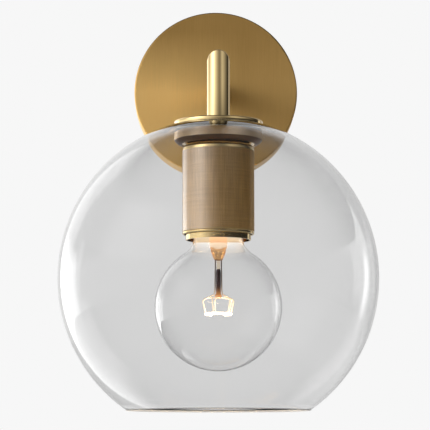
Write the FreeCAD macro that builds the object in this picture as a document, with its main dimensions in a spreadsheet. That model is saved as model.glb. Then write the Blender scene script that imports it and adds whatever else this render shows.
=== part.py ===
import FreeCAD, Part
import math
import os

import Sketcher

# Globe wall sconce, piece by piece as it comes apart on a bench. Millimetres, +Z up.
# The wall is the plane Y = 0 and the lamp stands out along -Y. The origin is the centre
# of the canopy's back, level with the arm's horizontal run.

SIZES = {
    # Canopy: a brass pan, open to the wall
    "canopy_radius": 55.5,
    "canopy_depth": 24.0,
    "canopy_wall": 1.6,
    "canopy_edge": 1.2,
    # Crossbar: the steel strap that the canopy hides
    "box_screw_spacing": 88.9,
    "box_slot_length": 9.0,
    "box_slot_width": 5.0,
    "crossbar_width": 22.0,
    "crossbar_thickness": 2.0,
    "crossbar_wire_hole": 8.0,
    "crossbar_gap": 0.5,
    "tab_width": 16.0,
    "tab_height": 18.0,
    "set_screw_radius": 2.0,
    "set_screw_length": 6.0,
    "set_screw_depth": 12.0,
    "set_screw_sink": 0.2,
    "set_screw_key": 1.1,
    # Ground screw, lug and wire
    "ground_screw_radius": 2.0,
    "ground_head_radius": 3.6,
    "ground_head_height": 2.2,
    "ground_screw_across": 18.0,
    "lug_thickness": 0.8,
    "lug_radius": 8.0,
    "lug_reach": 14.0,
    "lug_width": 5.0,
    # Threaded nipples, their washers and nuts
    "nipple_radius": 5.0,
    "nipple_bore": 3.7,
    "nipple_in_arm": 10.0,
    "nipple_past_nut": 1.4,
    "thread_clearance": 0.05,
    "washer_radius": 8.0,
    "washer_thickness": 1.0,
    "nut_across_flats": 14.0,
    "nut_height": 3.2,
    # Arm: a heavy brass tube with one mitre
    "arm_radius": 7.2,
    "projection": 136.0,
    "arm_drop": 37.6,
    # Shade cap with its threaded spigot
    "cap_radius": 28.0,
    "cap_thickness": 2.7,
    "cap_edge": 0.9,
    "spigot_radius": 23.0,
    "spigot_wall": 4.5,
    # Glass shade, the gaskets on its collar and the ring below
    "globe_radius": 100.0,
    "glass_wall": 2.8,
    "crown_flattening": 4.8,
    "crown_blend": 8.0,
    "rim_drop": 82.3,
    "rim_rounding": 0.9,
    "collar_clearance": 1.0,
    "upper_gasket_thickness": 0.5,
    "lower_gasket_thickness": 0.6,
    "gasket_radius": 27.0,
    "ring_radius": 27.7,
    "ring_band": 5.3,
    "ring_taper": 2.7,
    "ring_foot": 24.0,
    "ring_rounding": 6.0,
    "ring_thread_clearance": 0.1,
    "ring_overhang": 0.5,
    # Socket shell and its liner
    "shell_radius": 22.55,
    "shell_length": 57.3,
    "shell_wall": 1.2,
    "shell_roof": 1.6,
    "shell_neck": 20.5,
    "shell_shoulder": 3.9,
    "shell_edge": 0.7,
    "liner_radius": 20.5,
    "liner_wall": 0.9,
    "liner_reach": 3.4,
    # Porcelain lamp holder
    "porcelain_depth": 21.8,
    "porcelain_length": 30.0,
    "porcelain_flange_height": 8.0,
    "porcelain_floor": 6.0,
    "porcelain_recess_depth": 2.0,
    "porcelain_recess_radius": 8.3,
    "holder_clearance": 0.25,
    "liner_clearance": 0.1,
    # Bracket that hangs the porcelain from the nipple
    "bracket_thickness": 1.2,
    "bracket_width": 14.0,
    "bracket_half_span": 13.0,
    "bracket_foot": 19.4,
    "bracket_screw_across": 16.8,
    "screw_radius": 1.5,
    "screw_head_radius": 2.9,
    "screw_head_height": 1.8,
    "screw_grip": 5.0,
    "screw_slot": 0.6,
    "lock_washer_thickness": 0.8,
    # Contacts and terminals
    "screw_shell_wall": 0.45,
    "screw_shell_length": 25.0,
    "screw_shell_clearance": 0.3,
    "terminal_thickness": 1.0,
    "terminal_width": 7.0,
    "terminal_margin": 3.2,
    "rivet_radius": 1.2,
    "rivet_head_radius": 2.0,
    "rivet_head_height": 0.6,
    "line_rivet_place": 5.5,
    "line_screw_place": 13.0,
    "neutral_rivet_place": 10.3,
    "neutral_screw_place": 16.2,
    "contact_thickness": 0.5,
    "contact_width": 5.0,
    "contact_drop": 4.0,
    "contact_tail": 2.5,
    # Wires
    "wire_radius": 1.1,
    "core_radius": 0.5,
    "wire_offset": 2.2,
    "wire_drop": 5.5,
    "wire_turn_depth": 9.0,
    "wire_tail": 34.0,
    "stripped_length": 8.0,
    "stripped_past_turn": 4.0,
    "line_lift": 9.0,
    "neutral_lift": 12.6,
    "wire_landing_turn": 3.0,
    "wire_entry_turn": 5.0,
    "wire_arm_turn": 8.0,
    "wire_tail_turn": 6.0,
    "ground_wire_reach": 14.0,
    "ground_wire_overlap": 3.0,
    "ground_wire_turn": 5.0,
    # Globe bulb
    "bulb_radius": 39.8,
    "bulb_length": 112.6,
    "bulb_wall": 0.7,
    "bulb_neck_radius": 15.0,
    "bulb_neck_fillet": 14.0,
    "base_radius": 13.05,
    "base_length": 19.3,
    "base_wall": 0.35,
    "base_thread_pitch": 3.629,
    "base_thread_depth": 0.8,
    "base_clearance": 0.3,
    "insulator_height": 3.5,
    "insulator_top_radius": 6.0,
    "tip_radius": 3.4,
    "tip_height": 1.2,
    "stem_radius": 5.2,
    "stem_above_centre": 29.8,
    "stem_press": 7.0,
    "rod_radius": 1.2,
    "rod_above_centre": 7.6,
    "button_radius": 2.1,
    "filament_below_centre": 4.2,
    "filament_ring_radius": 8.2,
    "filament_radius": 0.45,
    "lead_radius": 0.35,
    "lead_offset": 2.3,
    "lead_spread": 4.0,
    "lead_turn": 2.0,
    "support_radius": 0.2,
}
THREAD_RINGS = 5
SUPPORT_WIRES = 5
FILAMENT_SWEEP = 300.0
PAIRS = (
    "canopy_set_screws",
    "bracket_screws",
    "contact_rivets",
    "terminal_screws",
    "bulb_lead_wires",
)

doc = FreeCAD.newDocument("globe_wall_sconce")
sheet = doc.addObject("Spreadsheet::Sheet", "sizes")
nodes = []


class Size:
    """A length that keeps both its number and the sheet expression it comes from."""

    def __init__(self, number, text=None):
        self.number = float(number)
        self.text = text or repr(float(number))

    def join(self, sign, number, other):
        return Size(number, f"({self.text} {sign} {other.text})")

    def __add__(self, other):
        other = as_size(other)
        return self.join("+", self.number + other.number, other)

    def __sub__(self, other):
        other = as_size(other)
        return self.join("-", self.number - other.number, other)

    def __mul__(self, other):
        other = as_size(other)
        return self.join("*", self.number * other.number, other)

    def __truediv__(self, other):
        other = as_size(other)
        return self.join("/", self.number / other.number, other)

    def __neg__(self):
        return as_size(0) - self

    def __radd__(self, other):
        return as_size(other) + self

    def __rsub__(self, other):
        return as_size(other) - self

    def __rmul__(self, other):
        return as_size(other) * self


def as_size(value):
    return value if isinstance(value, Size) else Size(value)


def root(size):
    return Size(math.sqrt(size.number), f"sqrt({size.text})")


def fill_sheet():
    """Writes the sizes into the sheet and hands them back under their names."""
    named = {}
    for row, (name, value) in enumerate(SIZES.items(), 1):
        sheet.set(f"A{row}", name)
        sheet.set(f"B{row}", str(value))
        sheet.setAlias(f"B{row}", name)
        named[name] = Size(value, f"{sheet.Name}.{name}")
    doc.recompute()
    return named


class Named:
    """The driving sizes and the places worked out from them."""

    def __init__(self, values):
        self.__dict__.update(values)


s = Named(fill_sheet())


def bind(thing, prop, size):
    thing.setExpression(prop, as_size(size).text)


def work_out_places():
    """Heights from the arm's axis down, and distances from the wall out."""
    s.zero = as_size(0)
    # Out from the wall
    s.canopy_face_inside = s.canopy_depth - s.canopy_wall
    s.washer_back = s.canopy_face_inside - s.washer_thickness
    s.lug_back = s.washer_back - s.lug_thickness
    s.nut_back = s.lug_back - s.nut_height
    s.nipple_back = s.nut_back - s.nipple_past_nut
    s.nipple_hole = s.nipple_radius + s.thread_clearance
    s.canopy_inside = s.canopy_radius - s.canopy_wall
    tab_corner = s.canopy_inside - s.crossbar_gap
    strap_side = s.crossbar_width / 2
    s.tab_face = root(tab_corner * tab_corner - strap_side * strap_side)
    s.wire_height = s.crossbar_thickness + 2 * s.core_radius
    s.ground_screw_side = s.ground_screw_radius + s.core_radius + 0.1
    # Down from the arm's axis, through the shade's fixing
    s.cap_top = -s.arm_drop
    s.cap_under = s.cap_top - s.cap_thickness
    s.collar_top = s.cap_under - s.upper_gasket_thickness
    s.collar_under = s.collar_top - s.glass_wall
    s.ring_top = s.collar_under - s.lower_gasket_thickness
    s.ring_side_end = s.ring_top - s.ring_band
    s.ring_bottom = s.ring_side_end - s.ring_taper
    s.ring_bore = s.spigot_radius + s.ring_thread_clearance
    s.collar_hole = s.spigot_radius + s.collar_clearance
    s.spigot_end = s.ring_bottom + s.ring_overhang
    s.crown_height = s.globe_radius - s.crown_flattening
    s.globe_centre = s.collar_top - s.crown_height
    # Down through the socket
    s.shell_top = s.spigot_end
    s.shell_under_roof = s.shell_top - s.shell_roof
    s.shell_bottom = s.shell_top - s.shell_length
    s.shell_inside = s.shell_radius - s.shell_wall
    s.liner_bottom = s.shell_bottom - s.liner_reach
    s.liner_inside = s.liner_radius - s.liner_wall
    s.bracket_under = s.shell_under_roof - s.bracket_thickness
    s.socket_nut_top = s.bracket_under - s.lock_washer_thickness
    s.socket_nut_under = s.socket_nut_top - s.nut_height
    s.socket_nipple_end = s.socket_nut_under - s.nipple_past_nut
    s.porcelain_top = s.shell_top - s.porcelain_depth
    s.foot_top = s.porcelain_top + s.bracket_thickness
    s.flange_under = s.porcelain_top - s.porcelain_flange_height
    s.flange_radius = s.shell_inside - s.holder_clearance
    s.porcelain_radius = s.liner_inside - s.liner_clearance
    s.porcelain_bottom = s.porcelain_top - s.porcelain_length
    s.bore_roof = s.porcelain_top - s.porcelain_floor
    s.recess_roof = s.bore_roof + s.porcelain_recess_depth
    s.screw_shell_bore = s.base_radius + s.base_clearance
    s.screw_shell_radius = s.screw_shell_bore + s.screw_shell_wall
    s.porcelain_bore = s.screw_shell_radius + s.screw_shell_clearance
    s.terminal_top = s.porcelain_top + s.terminal_thickness
    s.contact_under = s.recess_roof - s.contact_drop
    # Down through the bulb
    s.bulb_tip = s.contact_under
    s.tip_seat = s.bulb_tip - s.tip_height
    s.base_top = s.tip_seat - s.insulator_height
    s.base_bottom = s.base_top - s.base_length
    s.bulb_centre = s.bulb_tip - s.bulb_length + s.bulb_radius
    s.base_root = s.base_radius - s.base_thread_depth
    s.neck_in_base = s.base_root - s.base_wall - 0.05
    s.neck_top = s.base_bottom + s.base_length / 2
    s.stem_bottom = s.bulb_centre + s.stem_above_centre
    s.rod_bottom = s.bulb_centre + s.rod_above_centre
    s.filament_height = s.bulb_centre - s.filament_below_centre


work_out_places()


def vector(x, y, z):
    return FreeCAD.Vector(as_size(x).number, as_size(y).number, as_size(z).number)


def on_lamp(body):
    """Puts a body that was drawn round its own Z axis on the lamp's upright axis."""
    bind(body, "Placement.Base.y", -s.projection)
    return body


def on_wall(body):
    """Turns a body that was drawn upwards so that it points out of the wall."""
    body.Placement = FreeCAD.Placement(vector(0, 0, 0), FreeCAD.Rotation(vector(1, 0, 0), 90))
    return body


def keep(thing, label):
    thing.Label = label
    nodes.append(thing)
    return thing


def new_body(label):
    body = doc.addObject("PartDesign::Body", label)
    body.Label = label
    return body


def new_sketch(body, role, name, offset=None):
    """A sketch on one of the body's own origin planes, moved off it by an offset."""
    plane = next(f for f in body.Origin.OriginFeatures if f.Role == role)
    sketch = body.newObject("Sketcher::SketchObject", f"{body.Name}_{name}")
    sketch.AttachmentSupport = [(plane, "")]
    sketch.MapMode = "FlatFace"
    if offset is not None:
        bind(sketch, "AttachmentOffset.Base.z", offset)
    return sketch


def pin(sketch, geometry, point, place):
    """Holds one point of a sketch at its distances from the sketch's origin."""
    for kind, size in zip(("DistanceX", "DistanceY"), place):
        size = as_size(size)
        number = sketch.addConstraint(
            Sketcher.Constraint(kind, -1, 1, geometry, point, size.number)
        )
        bind(sketch, f"Constraints[{number}]", size)


def draw(sketch, corners, arcs=None, closed=True):
    """Joins the corners by lines, or by arcs where arcs names the run and its radius.

    An arc is (radius, side): side is 1 where its centre lies left of the run, else -1.
    """
    arcs = arcs or {}
    corners = [(as_size(x), as_size(y)) for x, y in corners]
    count = len(corners)
    ends = []
    for run in range(count if closed else count - 1):
        start = vector(*corners[run], 0)
        end = vector(*corners[(run + 1) % count], 0)
        if run not in arcs:
            ends.append((sketch.addGeometry(Part.LineSegment(start, end)), 1, 2))
            continue
        radius, side = as_size(arcs[run][0]), arcs[run][1]
        chord = end - start
        left = FreeCAD.Vector(-chord.y, chord.x, 0).normalize()
        rise = math.sqrt(max(radius.number**2 - (chord.Length / 2) ** 2, 0))
        centre = (start + end) * 0.5 + left * (side * rise)
        first, last = (start, end) if side > 0 else (end, start)
        angles = [math.atan2(p.y - centre.y, p.x - centre.x) for p in (first, last)]
        circle = Part.Circle(centre, FreeCAD.Vector(0, 0, 1), radius.number)
        number = sketch.addGeometry(Part.ArcOfCircle(circle, *angles))
        ends.append((number, 1, 2) if side > 0 else (number, 2, 1))
        held = sketch.addConstraint(Sketcher.Constraint("Radius", number, radius.number))
        bind(sketch, f"Constraints[{held}]", radius)
    for run in range(len(ends)):
        geometry, first, last = ends[run]
        pin(sketch, geometry, first, corners[run])
        if closed or run + 1 < len(ends):
            following = ends[(run + 1) % len(ends)]
            sketch.addConstraint(
                Sketcher.Constraint("Coincident", geometry, last, following[0], following[1])
            )
    if not closed:
        pin(sketch, ends[-1][0], ends[-1][2], corners[-1])


def draw_circles(sketch, circles):
    for x, y, radius in circles:
        x, y, radius = as_size(x), as_size(y), as_size(radius)
        circle = Part.Circle(vector(x, y, 0), FreeCAD.Vector(0, 0, 1), radius.number)
        number = sketch.addGeometry(circle)
        held = sketch.addConstraint(Sketcher.Constraint("Radius", number, radius.number))
        bind(sketch, f"Constraints[{held}]", radius)
        pin(sketch, number, 3, (x, y))


def turn(body, corners, arcs=None):
    """Revolves an outline of (radius, height) corners about the body's Z axis."""
    sketch = new_sketch(body, "XZ_Plane", "outline")
    draw(sketch, corners, arcs)
    feature = body.newObject("PartDesign::Revolution", f"{body.Name}_turned")
    feature.Profile = sketch
    feature.ReferenceAxis = (sketch, ["V_Axis"])
    feature.Angle = 360
    body.Tip = feature
    return body


def turned(label, corners, arcs=None):
    return turn(new_body(label), corners, arcs)


def ring(label, inner, outer, bottom, top):
    return turned(label, [(inner, bottom), (outer, bottom), (outer, top), (inner, top)])


def pad(body, role, name, corners, start, length, arcs=None, middle=False):
    """Adds a straight block whose outline is drawn on a plane, start off that plane."""
    sketch = new_sketch(body, role, name, start)
    draw(sketch, corners, arcs)
    feature = body.newObject("PartDesign::Pad", f"{body.Name}_{name}_pad")
    feature.Profile = sketch
    bind(feature, "Length", length)
    feature.Midplane = middle
    body.Tip = feature
    return feature


def drill(body, role, name, circles, start, length=None, both_ways=False):
    """Drills holes, either right through or to a length, and checks that they cut."""
    doc.recompute()
    before = body.Shape.Volume
    sketch = new_sketch(body, role, name, start)
    draw_circles(sketch, circles)
    feature = body.newObject("PartDesign::Pocket", f"{body.Name}_{name}_holes")
    feature.Profile = sketch
    feature.Midplane = both_ways
    if length is None:
        feature.Type = "ThroughAll"
    else:
        bind(feature, "Length", length)
    body.Tip = feature
    doc.recompute()
    if body.Shape.Volume > before - 0.01:
        raise RuntimeError(f"{body.Label}: {name} cut nothing")
    return feature


def cut_slot(body, role, name, corners, start, length, arcs=None):
    """Cuts a straight sunk shape to a length, and checks that it cut."""
    doc.recompute()
    before = body.Shape.Volume
    sketch = new_sketch(body, role, name, start)
    draw(sketch, corners, arcs)
    feature = body.newObject("PartDesign::Pocket", f"{body.Name}_{name}_cut")
    feature.Profile = sketch
    bind(feature, "Length", length)
    body.Tip = feature
    doc.recompute()
    if body.Shape.Volume > before - 0.01:
        raise RuntimeError(f"{body.Label}: {name} cut nothing")


def round_edges(body, places, radius, name):
    """Rounds the circular edges that lie at the given (radius, height) places."""
    doc.recompute()
    found = []
    for number, edge in enumerate(body.Shape.Edges, 1):
        if not isinstance(edge.Curve, Part.Circle):
            continue
        for at_radius, at_height in places:
            same_radius = abs(edge.Curve.Radius - as_size(at_radius).number) < 1e-4
            if same_radius and abs(edge.Curve.Center.z - as_size(at_height).number) < 1e-4:
                found.append(f"Edge{number}")
    if len(found) != len(places):
        raise RuntimeError(f"{body.Label}: {name} found {len(found)} of {len(places)} edges")
    base = body.Tip
    feature = body.newObject("PartDesign::Fillet", f"{body.Name}_{name}")
    feature.Base = (base, found)
    bind(feature, "Radius", radius)
    body.Tip = feature


def rectangle(x0, x1, y0, y1):
    return [(x0, y0), (x1, y0), (x1, y1), (x0, y1)]


def hexagon(across_flats):
    corner = across_flats / math.sqrt(3)
    angles = [math.radians(60 * turn_number) for turn_number in range(6)]
    return [(corner * math.cos(a), corner * math.sin(a)) for a in angles]


def hex_nut(label, bottom):
    body = new_body(label)
    pad(body, "XY_Plane", "flats", hexagon(s.nut_across_flats), bottom, s.nut_height)
    drill(body, "XY_Plane", "bore", [(0, 0, s.nipple_hole)], bottom + s.nut_height)
    return body


def together(label, bodies):
    """One node that holds several like pieces as separate solids."""
    group = doc.addObject("Part::Compound", label)
    group.Links = bodies
    return keep(group, label)


# Wall side


def make_canopy():
    body = turned(
        "canopy",
        [
            (s.nipple_hole, s.canopy_face_inside),
            (s.canopy_inside, s.canopy_face_inside),
            (s.canopy_inside, 0),
            (s.canopy_radius, 0),
            (s.canopy_radius, s.canopy_depth - s.canopy_edge),
            (s.canopy_radius - s.canopy_edge, s.canopy_depth),
            (s.nipple_hole, s.canopy_depth),
        ],
        {4: (s.canopy_edge, 1)},
    )
    hole = s.set_screw_radius + 2 * s.thread_clearance
    drill(body, "YZ_Plane", "set_screw", [(0, s.set_screw_depth, hole)], s.zero, None, True)
    keep(on_wall(body), "canopy")


def make_crossbar():
    body = new_body("mounting_crossbar")
    side = s.crossbar_width / 2
    tab = s.tab_width / 2
    pad(
        body,
        "XY_Plane",
        "strap",
        rectangle(-s.tab_face, s.tab_face, -side, side),
        s.zero,
        s.crossbar_thickness,
    )
    for name, sign in (("left_tab", -1), ("right_tab", 1)):
        outer = s.tab_face * sign
        inner = (s.tab_face - s.crossbar_thickness) * sign
        ends = (outer, inner) if sign < 0 else (inner, outer)
        pad(body, "XY_Plane", name, rectangle(*ends, -tab, tab), s.zero, s.tab_height)
    run = (s.box_slot_length - s.box_slot_width) / 2
    half = s.box_slot_width / 2
    for name, sign in (("left_slot", -1), ("right_slot", 1)):
        middle = s.box_screw_spacing / 2 * sign
        outline = rectangle(middle - run, middle + run, -half, half)
        cut_slot(body, "XY_Plane", name, outline, s.crossbar_thickness, s.crossbar_thickness)
        ends = [(middle - run, 0, half), (middle + run, 0, half)]
        for end, circle in zip(("inner", "outer"), ends):
            drill(body, "XY_Plane", f"{name}_{end}", [circle], s.crossbar_thickness)
    thread = s.ground_screw_radius + s.thread_clearance
    holes = [
        (0, 0, s.crossbar_wire_hole),
        (s.ground_screw_across, -s.ground_screw_side, thread),
    ]
    drill(body, "XY_Plane", "middle", holes, s.crossbar_thickness)
    thread = s.set_screw_radius + s.thread_clearance
    drill(body, "YZ_Plane", "tab", [(0, s.set_screw_depth, thread)], s.zero, None, True)
    keep(on_wall(body), "mounting_crossbar")


def make_set_screws():
    """Two grub screws, flush with the canopy's side, that bite into the crossbar's tabs."""
    outer = s.canopy_radius - s.set_screw_sink
    bodies = []
    for name, sign in (("set_screw_left", -1), ("set_screw_right", 1)):
        body = new_body(name)
        start = outer * sign if sign < 0 else outer - s.set_screw_length
        sketch = new_sketch(body, "YZ_Plane", "shank", start)
        draw_circles(sketch, [(0, s.set_screw_depth, s.set_screw_radius)])
        feature = body.newObject("PartDesign::Pad", f"{name}_pad")
        feature.Profile = sketch
        bind(feature, "Length", s.set_screw_length)
        body.Tip = feature
        doc.recompute()
        key = new_sketch(body, "YZ_Plane", "key", outer * sign)
        corners = [(x, y + s.set_screw_depth) for x, y in hexagon(s.set_screw_key * 2)]
        draw(key, corners)
        socket = body.newObject("PartDesign::Pocket", f"{name}_key")
        socket.Profile = key
        socket.Reversed = sign < 0
        bind(socket, "Length", s.set_screw_length / 2)
        body.Tip = socket
        bodies.append(on_wall(body))
    together("canopy_set_screws", bodies)


def slotted_screw(label, x, y, seat, shank, grip, head, head_height):
    """A screw that points down, with its head on the seat and a driver slot in it."""
    body = new_body(label)
    turn(
        body,
        [
            (0, seat - grip),
            (shank, seat - grip),
            (shank, seat),
            (head, seat),
            (head, seat + head_height),
            (0, seat + head_height),
        ],
    )
    half = s.screw_slot / 2
    slot = rectangle(-head * 1.1, head * 1.1, -half, half)
    cut_slot(body, "XY_Plane", "driver", slot, seat + head_height, head_height / 2)
    return body, as_size(x), as_size(y)


def make_ground_screw():
    seat = s.wire_height
    body, x, y = slotted_screw(
        "ground_screw",
        s.ground_screw_across,
        -s.ground_screw_side,
        seat,
        s.ground_screw_radius,
        seat - 0.2,
        s.ground_head_radius,
        s.ground_head_height,
    )
    on_wall(body)
    bind(body, "Placement.Base.x", x)
    bind(body, "Placement.Base.z", y)
    keep(body, "ground_screw")


def make_canopy_fixing():
    """The nipple that ties the arm to the canopy, with its washer, lug and nut."""
    front = s.canopy_depth + s.nipple_in_arm
    keep(
        on_wall(ring("canopy_nipple", s.nipple_bore, s.nipple_radius, s.nipple_back, front)),
        "canopy_nipple",
    )
    washer = ring(
        "canopy_lock_washer",
        s.nipple_hole,
        s.washer_radius,
        s.washer_back,
        s.canopy_face_inside,
    )
    keep(on_wall(washer), "canopy_lock_washer")
    lug = ring("ground_lug", s.nipple_hole, s.lug_radius, s.lug_back, s.washer_back)
    half = s.lug_width / 2
    tail = rectangle(s.lug_radius - 1, s.lug_reach, -half, half)
    pad(lug, "XY_Plane", "tail", tail, s.lug_back, s.lug_thickness)
    keep(on_wall(lug), "ground_lug")
    keep(on_wall(hex_nut("canopy_locknut", s.nut_back)), "canopy_locknut")


def make_arm():
    """Two straight runs of tube that meet in a mitre over the lamp."""
    body = new_body("arm_tube")
    path = new_sketch(body, "YZ_Plane", "path")
    corners = [(-s.canopy_depth, 0), (-s.projection, 0), (-s.projection, s.cap_top)]
    draw(path, corners, closed=False)
    profile = new_sketch(body, "XZ_Plane", "section", s.canopy_depth)
    draw_circles(profile, [(0, 0, s.arm_radius), (0, 0, s.nipple_hole)])
    feature = body.newObject("PartDesign::AdditivePipe", "arm_tube_pipe")
    feature.Profile = profile
    feature.Spine = (path, ["Edge1", "Edge2"])
    feature.Transition = "Right corner"
    body.Tip = feature
    keep(body, "arm_tube")


# Shade and its fixing


def make_shade_cap():
    inside = s.spigot_radius - s.spigot_wall
    body = turned(
        "shade_cap",
        [
            (s.nipple_hole, s.cap_under),
            (inside, s.cap_under),
            (inside, s.spigot_end),
            (s.spigot_radius, s.spigot_end),
            (s.spigot_radius, s.cap_under),
            (s.cap_radius, s.cap_under),
            (s.cap_radius, s.cap_top - s.cap_edge),
            (s.cap_radius - s.cap_edge, s.cap_top),
            (s.nipple_hole, s.cap_top),
        ],
        {6: (s.cap_edge, 1)},
    )
    keep(on_lamp(body), "shade_cap")


def make_gaskets():
    inner = s.spigot_radius + s.ring_thread_clearance * 4
    outer = s.gasket_radius
    upper = ring("upper_gasket", inner, outer, s.collar_top, s.cap_under)
    keep(on_lamp(upper), "upper_gasket")
    lower = ring("lower_gasket", inner, outer, s.ring_top, s.collar_under)
    keep(on_lamp(lower), "lower_gasket")


def make_glass_shade():
    """A sphere with a flat pressed crown, a round hole for the spigot and a cut-off foot.

    The crown runs into the sphere by a blend that is tangent to both, and the inner
    skin is the outer one moved in by the wall.
    """
    centre = s.globe_centre
    blend = s.globe_radius - s.crown_blend
    lift = s.crown_height - s.crown_blend
    blend_out = root(blend * blend - lift * lift)
    inner_radius = s.globe_radius - s.glass_wall
    inner_blend = s.crown_blend - s.glass_wall
    outer_share = s.globe_radius / blend
    inner_share = inner_radius / blend
    rim_out = root(s.globe_radius * s.globe_radius - s.rim_drop * s.rim_drop)
    rim_in = root(inner_radius * inner_radius - s.rim_drop * s.rim_drop)
    rim = centre - s.rim_drop
    body = turned(
        "glass_shade",
        [
            (s.collar_hole, s.collar_under),
            (blend_out, s.collar_under),
            (blend_out * inner_share, centre + lift * inner_share),
            (rim_in, rim),
            (rim_out, rim),
            (blend_out * outer_share, centre + lift * outer_share),
            (blend_out, s.collar_top),
            (s.collar_hole, s.collar_top),
        ],
        {
            1: (inner_blend, -1),
            2: (inner_radius, -1),
            4: (s.globe_radius, 1),
            5: (s.crown_blend, 1),
        },
    )
    round_edges(body, [(rim_in, rim), (rim_out, rim)], s.rim_rounding, "polished_rim")
    keep(on_lamp(body), "glass_shade")


def make_retaining_ring():
    body = turned(
        "retaining_ring",
        [
            (s.ring_bore, s.ring_bottom),
            (s.ring_foot, s.ring_bottom),
            (s.ring_radius, s.ring_side_end),
            (s.ring_radius, s.ring_top),
            (s.ring_bore, s.ring_top),
        ],
        {1: (s.ring_rounding, 1)},
    )
    keep(on_lamp(body), "retaining_ring")


# Socket


def make_socket_shell():
    """A turned cup that hangs open end down, with a sloping shoulder under its roof."""
    shoulder_end = s.shell_top - s.shell_shoulder
    inner_neck = s.shell_neck - s.shell_wall
    body = turned(
        "socket_shell",
        [
            (s.nipple_hole, s.shell_under_roof),
            (inner_neck, s.shell_under_roof),
            (s.shell_inside, shoulder_end - s.shell_roof / 2),
            (s.shell_inside, s.shell_bottom),
            (s.shell_radius - s.shell_edge, s.shell_bottom),
            (s.shell_radius, s.shell_bottom + s.shell_edge),
            (s.shell_radius, shoulder_end),
            (s.shell_neck, s.shell_top),
            (s.nipple_hole, s.shell_top),
        ],
        {4: (s.shell_edge, 1)},
    )
    keep(on_lamp(body), "socket_shell")
    liner = ring(
        "socket_liner", s.liner_inside, s.liner_radius, s.liner_bottom, s.flange_under
    )
    keep(on_lamp(liner), "socket_liner")


def make_socket_fixing():
    """The nipple from the arm down to the bracket, with its washer and nut."""
    top = s.cap_top + s.nipple_in_arm
    nipple = ring("socket_nipple", s.nipple_bore, s.nipple_radius, s.socket_nipple_end, top)
    keep(on_lamp(nipple), "socket_nipple")
    washer = ring(
        "socket_lock_washer",
        s.nipple_hole,
        s.washer_radius,
        s.socket_nut_top,
        s.bracket_under,
    )
    keep(on_lamp(washer), "socket_lock_washer")
    keep(on_lamp(hex_nut("socket_locknut", s.socket_nut_under)), "socket_locknut")


def make_bracket():
    """A strap bent into a bridge, with its feet screwed down on the porcelain."""
    body = new_body("socket_bracket")
    out = s.bracket_half_span
    thick = s.bracket_thickness
    corners = [
        (-s.bracket_foot, s.porcelain_top),
        (-out + thick, s.porcelain_top),
        (-out + thick, s.bracket_under),
        (out - thick, s.bracket_under),
        (out - thick, s.porcelain_top),
        (s.bracket_foot, s.porcelain_top),
        (s.bracket_foot, s.foot_top),
        (out, s.foot_top),
        (out, s.shell_under_roof),
        (-out, s.shell_under_roof),
        (-out, s.foot_top),
        (-s.bracket_foot, s.foot_top),
    ]
    pad(body, "XZ_Plane", "strap", corners, s.zero, s.bracket_width, None, True)
    drill(body, "XY_Plane", "nipple", [(0, 0, s.nipple_hole)], s.shell_under_roof)
    hole = s.screw_radius + s.thread_clearance
    feet = [(-s.bracket_screw_across, 0, hole), (s.bracket_screw_across, 0, hole)]
    drill(body, "XY_Plane", "feet", feet, s.foot_top)
    keep(on_lamp(body), "socket_bracket")


def standing_screw(label, x, y, seat, grip):
    body, x, y = slotted_screw(
        label, x, y, seat, s.screw_radius, grip, s.screw_head_radius, s.screw_head_height
    )
    bind(body, "Placement.Base.x", x)
    bind(body, "Placement.Base.y", y - s.projection)
    return body


def make_small_screws():
    grip = s.screw_grip + s.bracket_thickness
    bodies = [
        standing_screw("bracket_screw_left", -s.bracket_screw_across, 0, s.foot_top, grip),
        standing_screw("bracket_screw_right", s.bracket_screw_across, 0, s.foot_top, grip),
    ]
    together("bracket_screws", bodies)
    seat = s.terminal_top + 2 * s.core_radius
    grip = s.screw_grip + s.terminal_thickness
    bodies = [
        standing_screw("line_terminal_screw", 0, -s.line_screw_place, seat, grip),
        standing_screw("neutral_terminal_screw", 0, s.neutral_screw_place, seat, grip),
    ]
    together("terminal_screws", bodies)


def make_porcelain():
    body = turned(
        "porcelain_socket",
        [
            (0, s.recess_roof),
            (s.porcelain_recess_radius, s.recess_roof),
            (s.porcelain_recess_radius, s.bore_roof),
            (s.porcelain_bore, s.bore_roof),
            (s.porcelain_bore, s.porcelain_bottom),
            (s.porcelain_radius, s.porcelain_bottom),
            (s.porcelain_radius, s.flange_under),
            (s.flange_radius, s.flange_under),
            (s.flange_radius, s.porcelain_top),
            (0, s.porcelain_top),
        ],
    )
    hole = s.screw_radius + s.thread_clearance
    screws = [
        (-s.bracket_screw_across, 0, hole),
        (s.bracket_screw_across, 0, hole),
        (0, -s.line_screw_place, hole),
        (0, s.neutral_screw_place, hole),
    ]
    depth = s.screw_grip + 0.3
    drill(body, "XY_Plane", "screws", screws, s.porcelain_top, depth)
    hole = s.rivet_radius + s.thread_clearance
    rivets = [(0, -s.line_rivet_place, hole), (0, s.neutral_rivet_place, hole)]
    drill(body, "XY_Plane", "rivets", rivets, s.porcelain_top)
    keep(on_lamp(body), "porcelain_socket")


def make_screw_shell():
    inner_lip = s.porcelain_recess_radius + 0.2
    inside_roof = s.bore_roof - s.screw_shell_wall
    bottom = s.bore_roof - s.screw_shell_length
    body = turned(
        "screw_shell",
        [
            (inner_lip, inside_roof),
            (s.screw_shell_bore, inside_roof),
            (s.screw_shell_bore, bottom),
            (s.screw_shell_radius, bottom),
            (s.screw_shell_radius, s.bore_roof),
            (inner_lip, s.bore_roof),
        ],
    )
    hole = s.rivet_radius + s.thread_clearance
    drill(body, "XY_Plane", "rivet", [(0, s.neutral_rivet_place, hole)], s.bore_roof)
    keep(on_lamp(body), "screw_shell")


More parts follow.
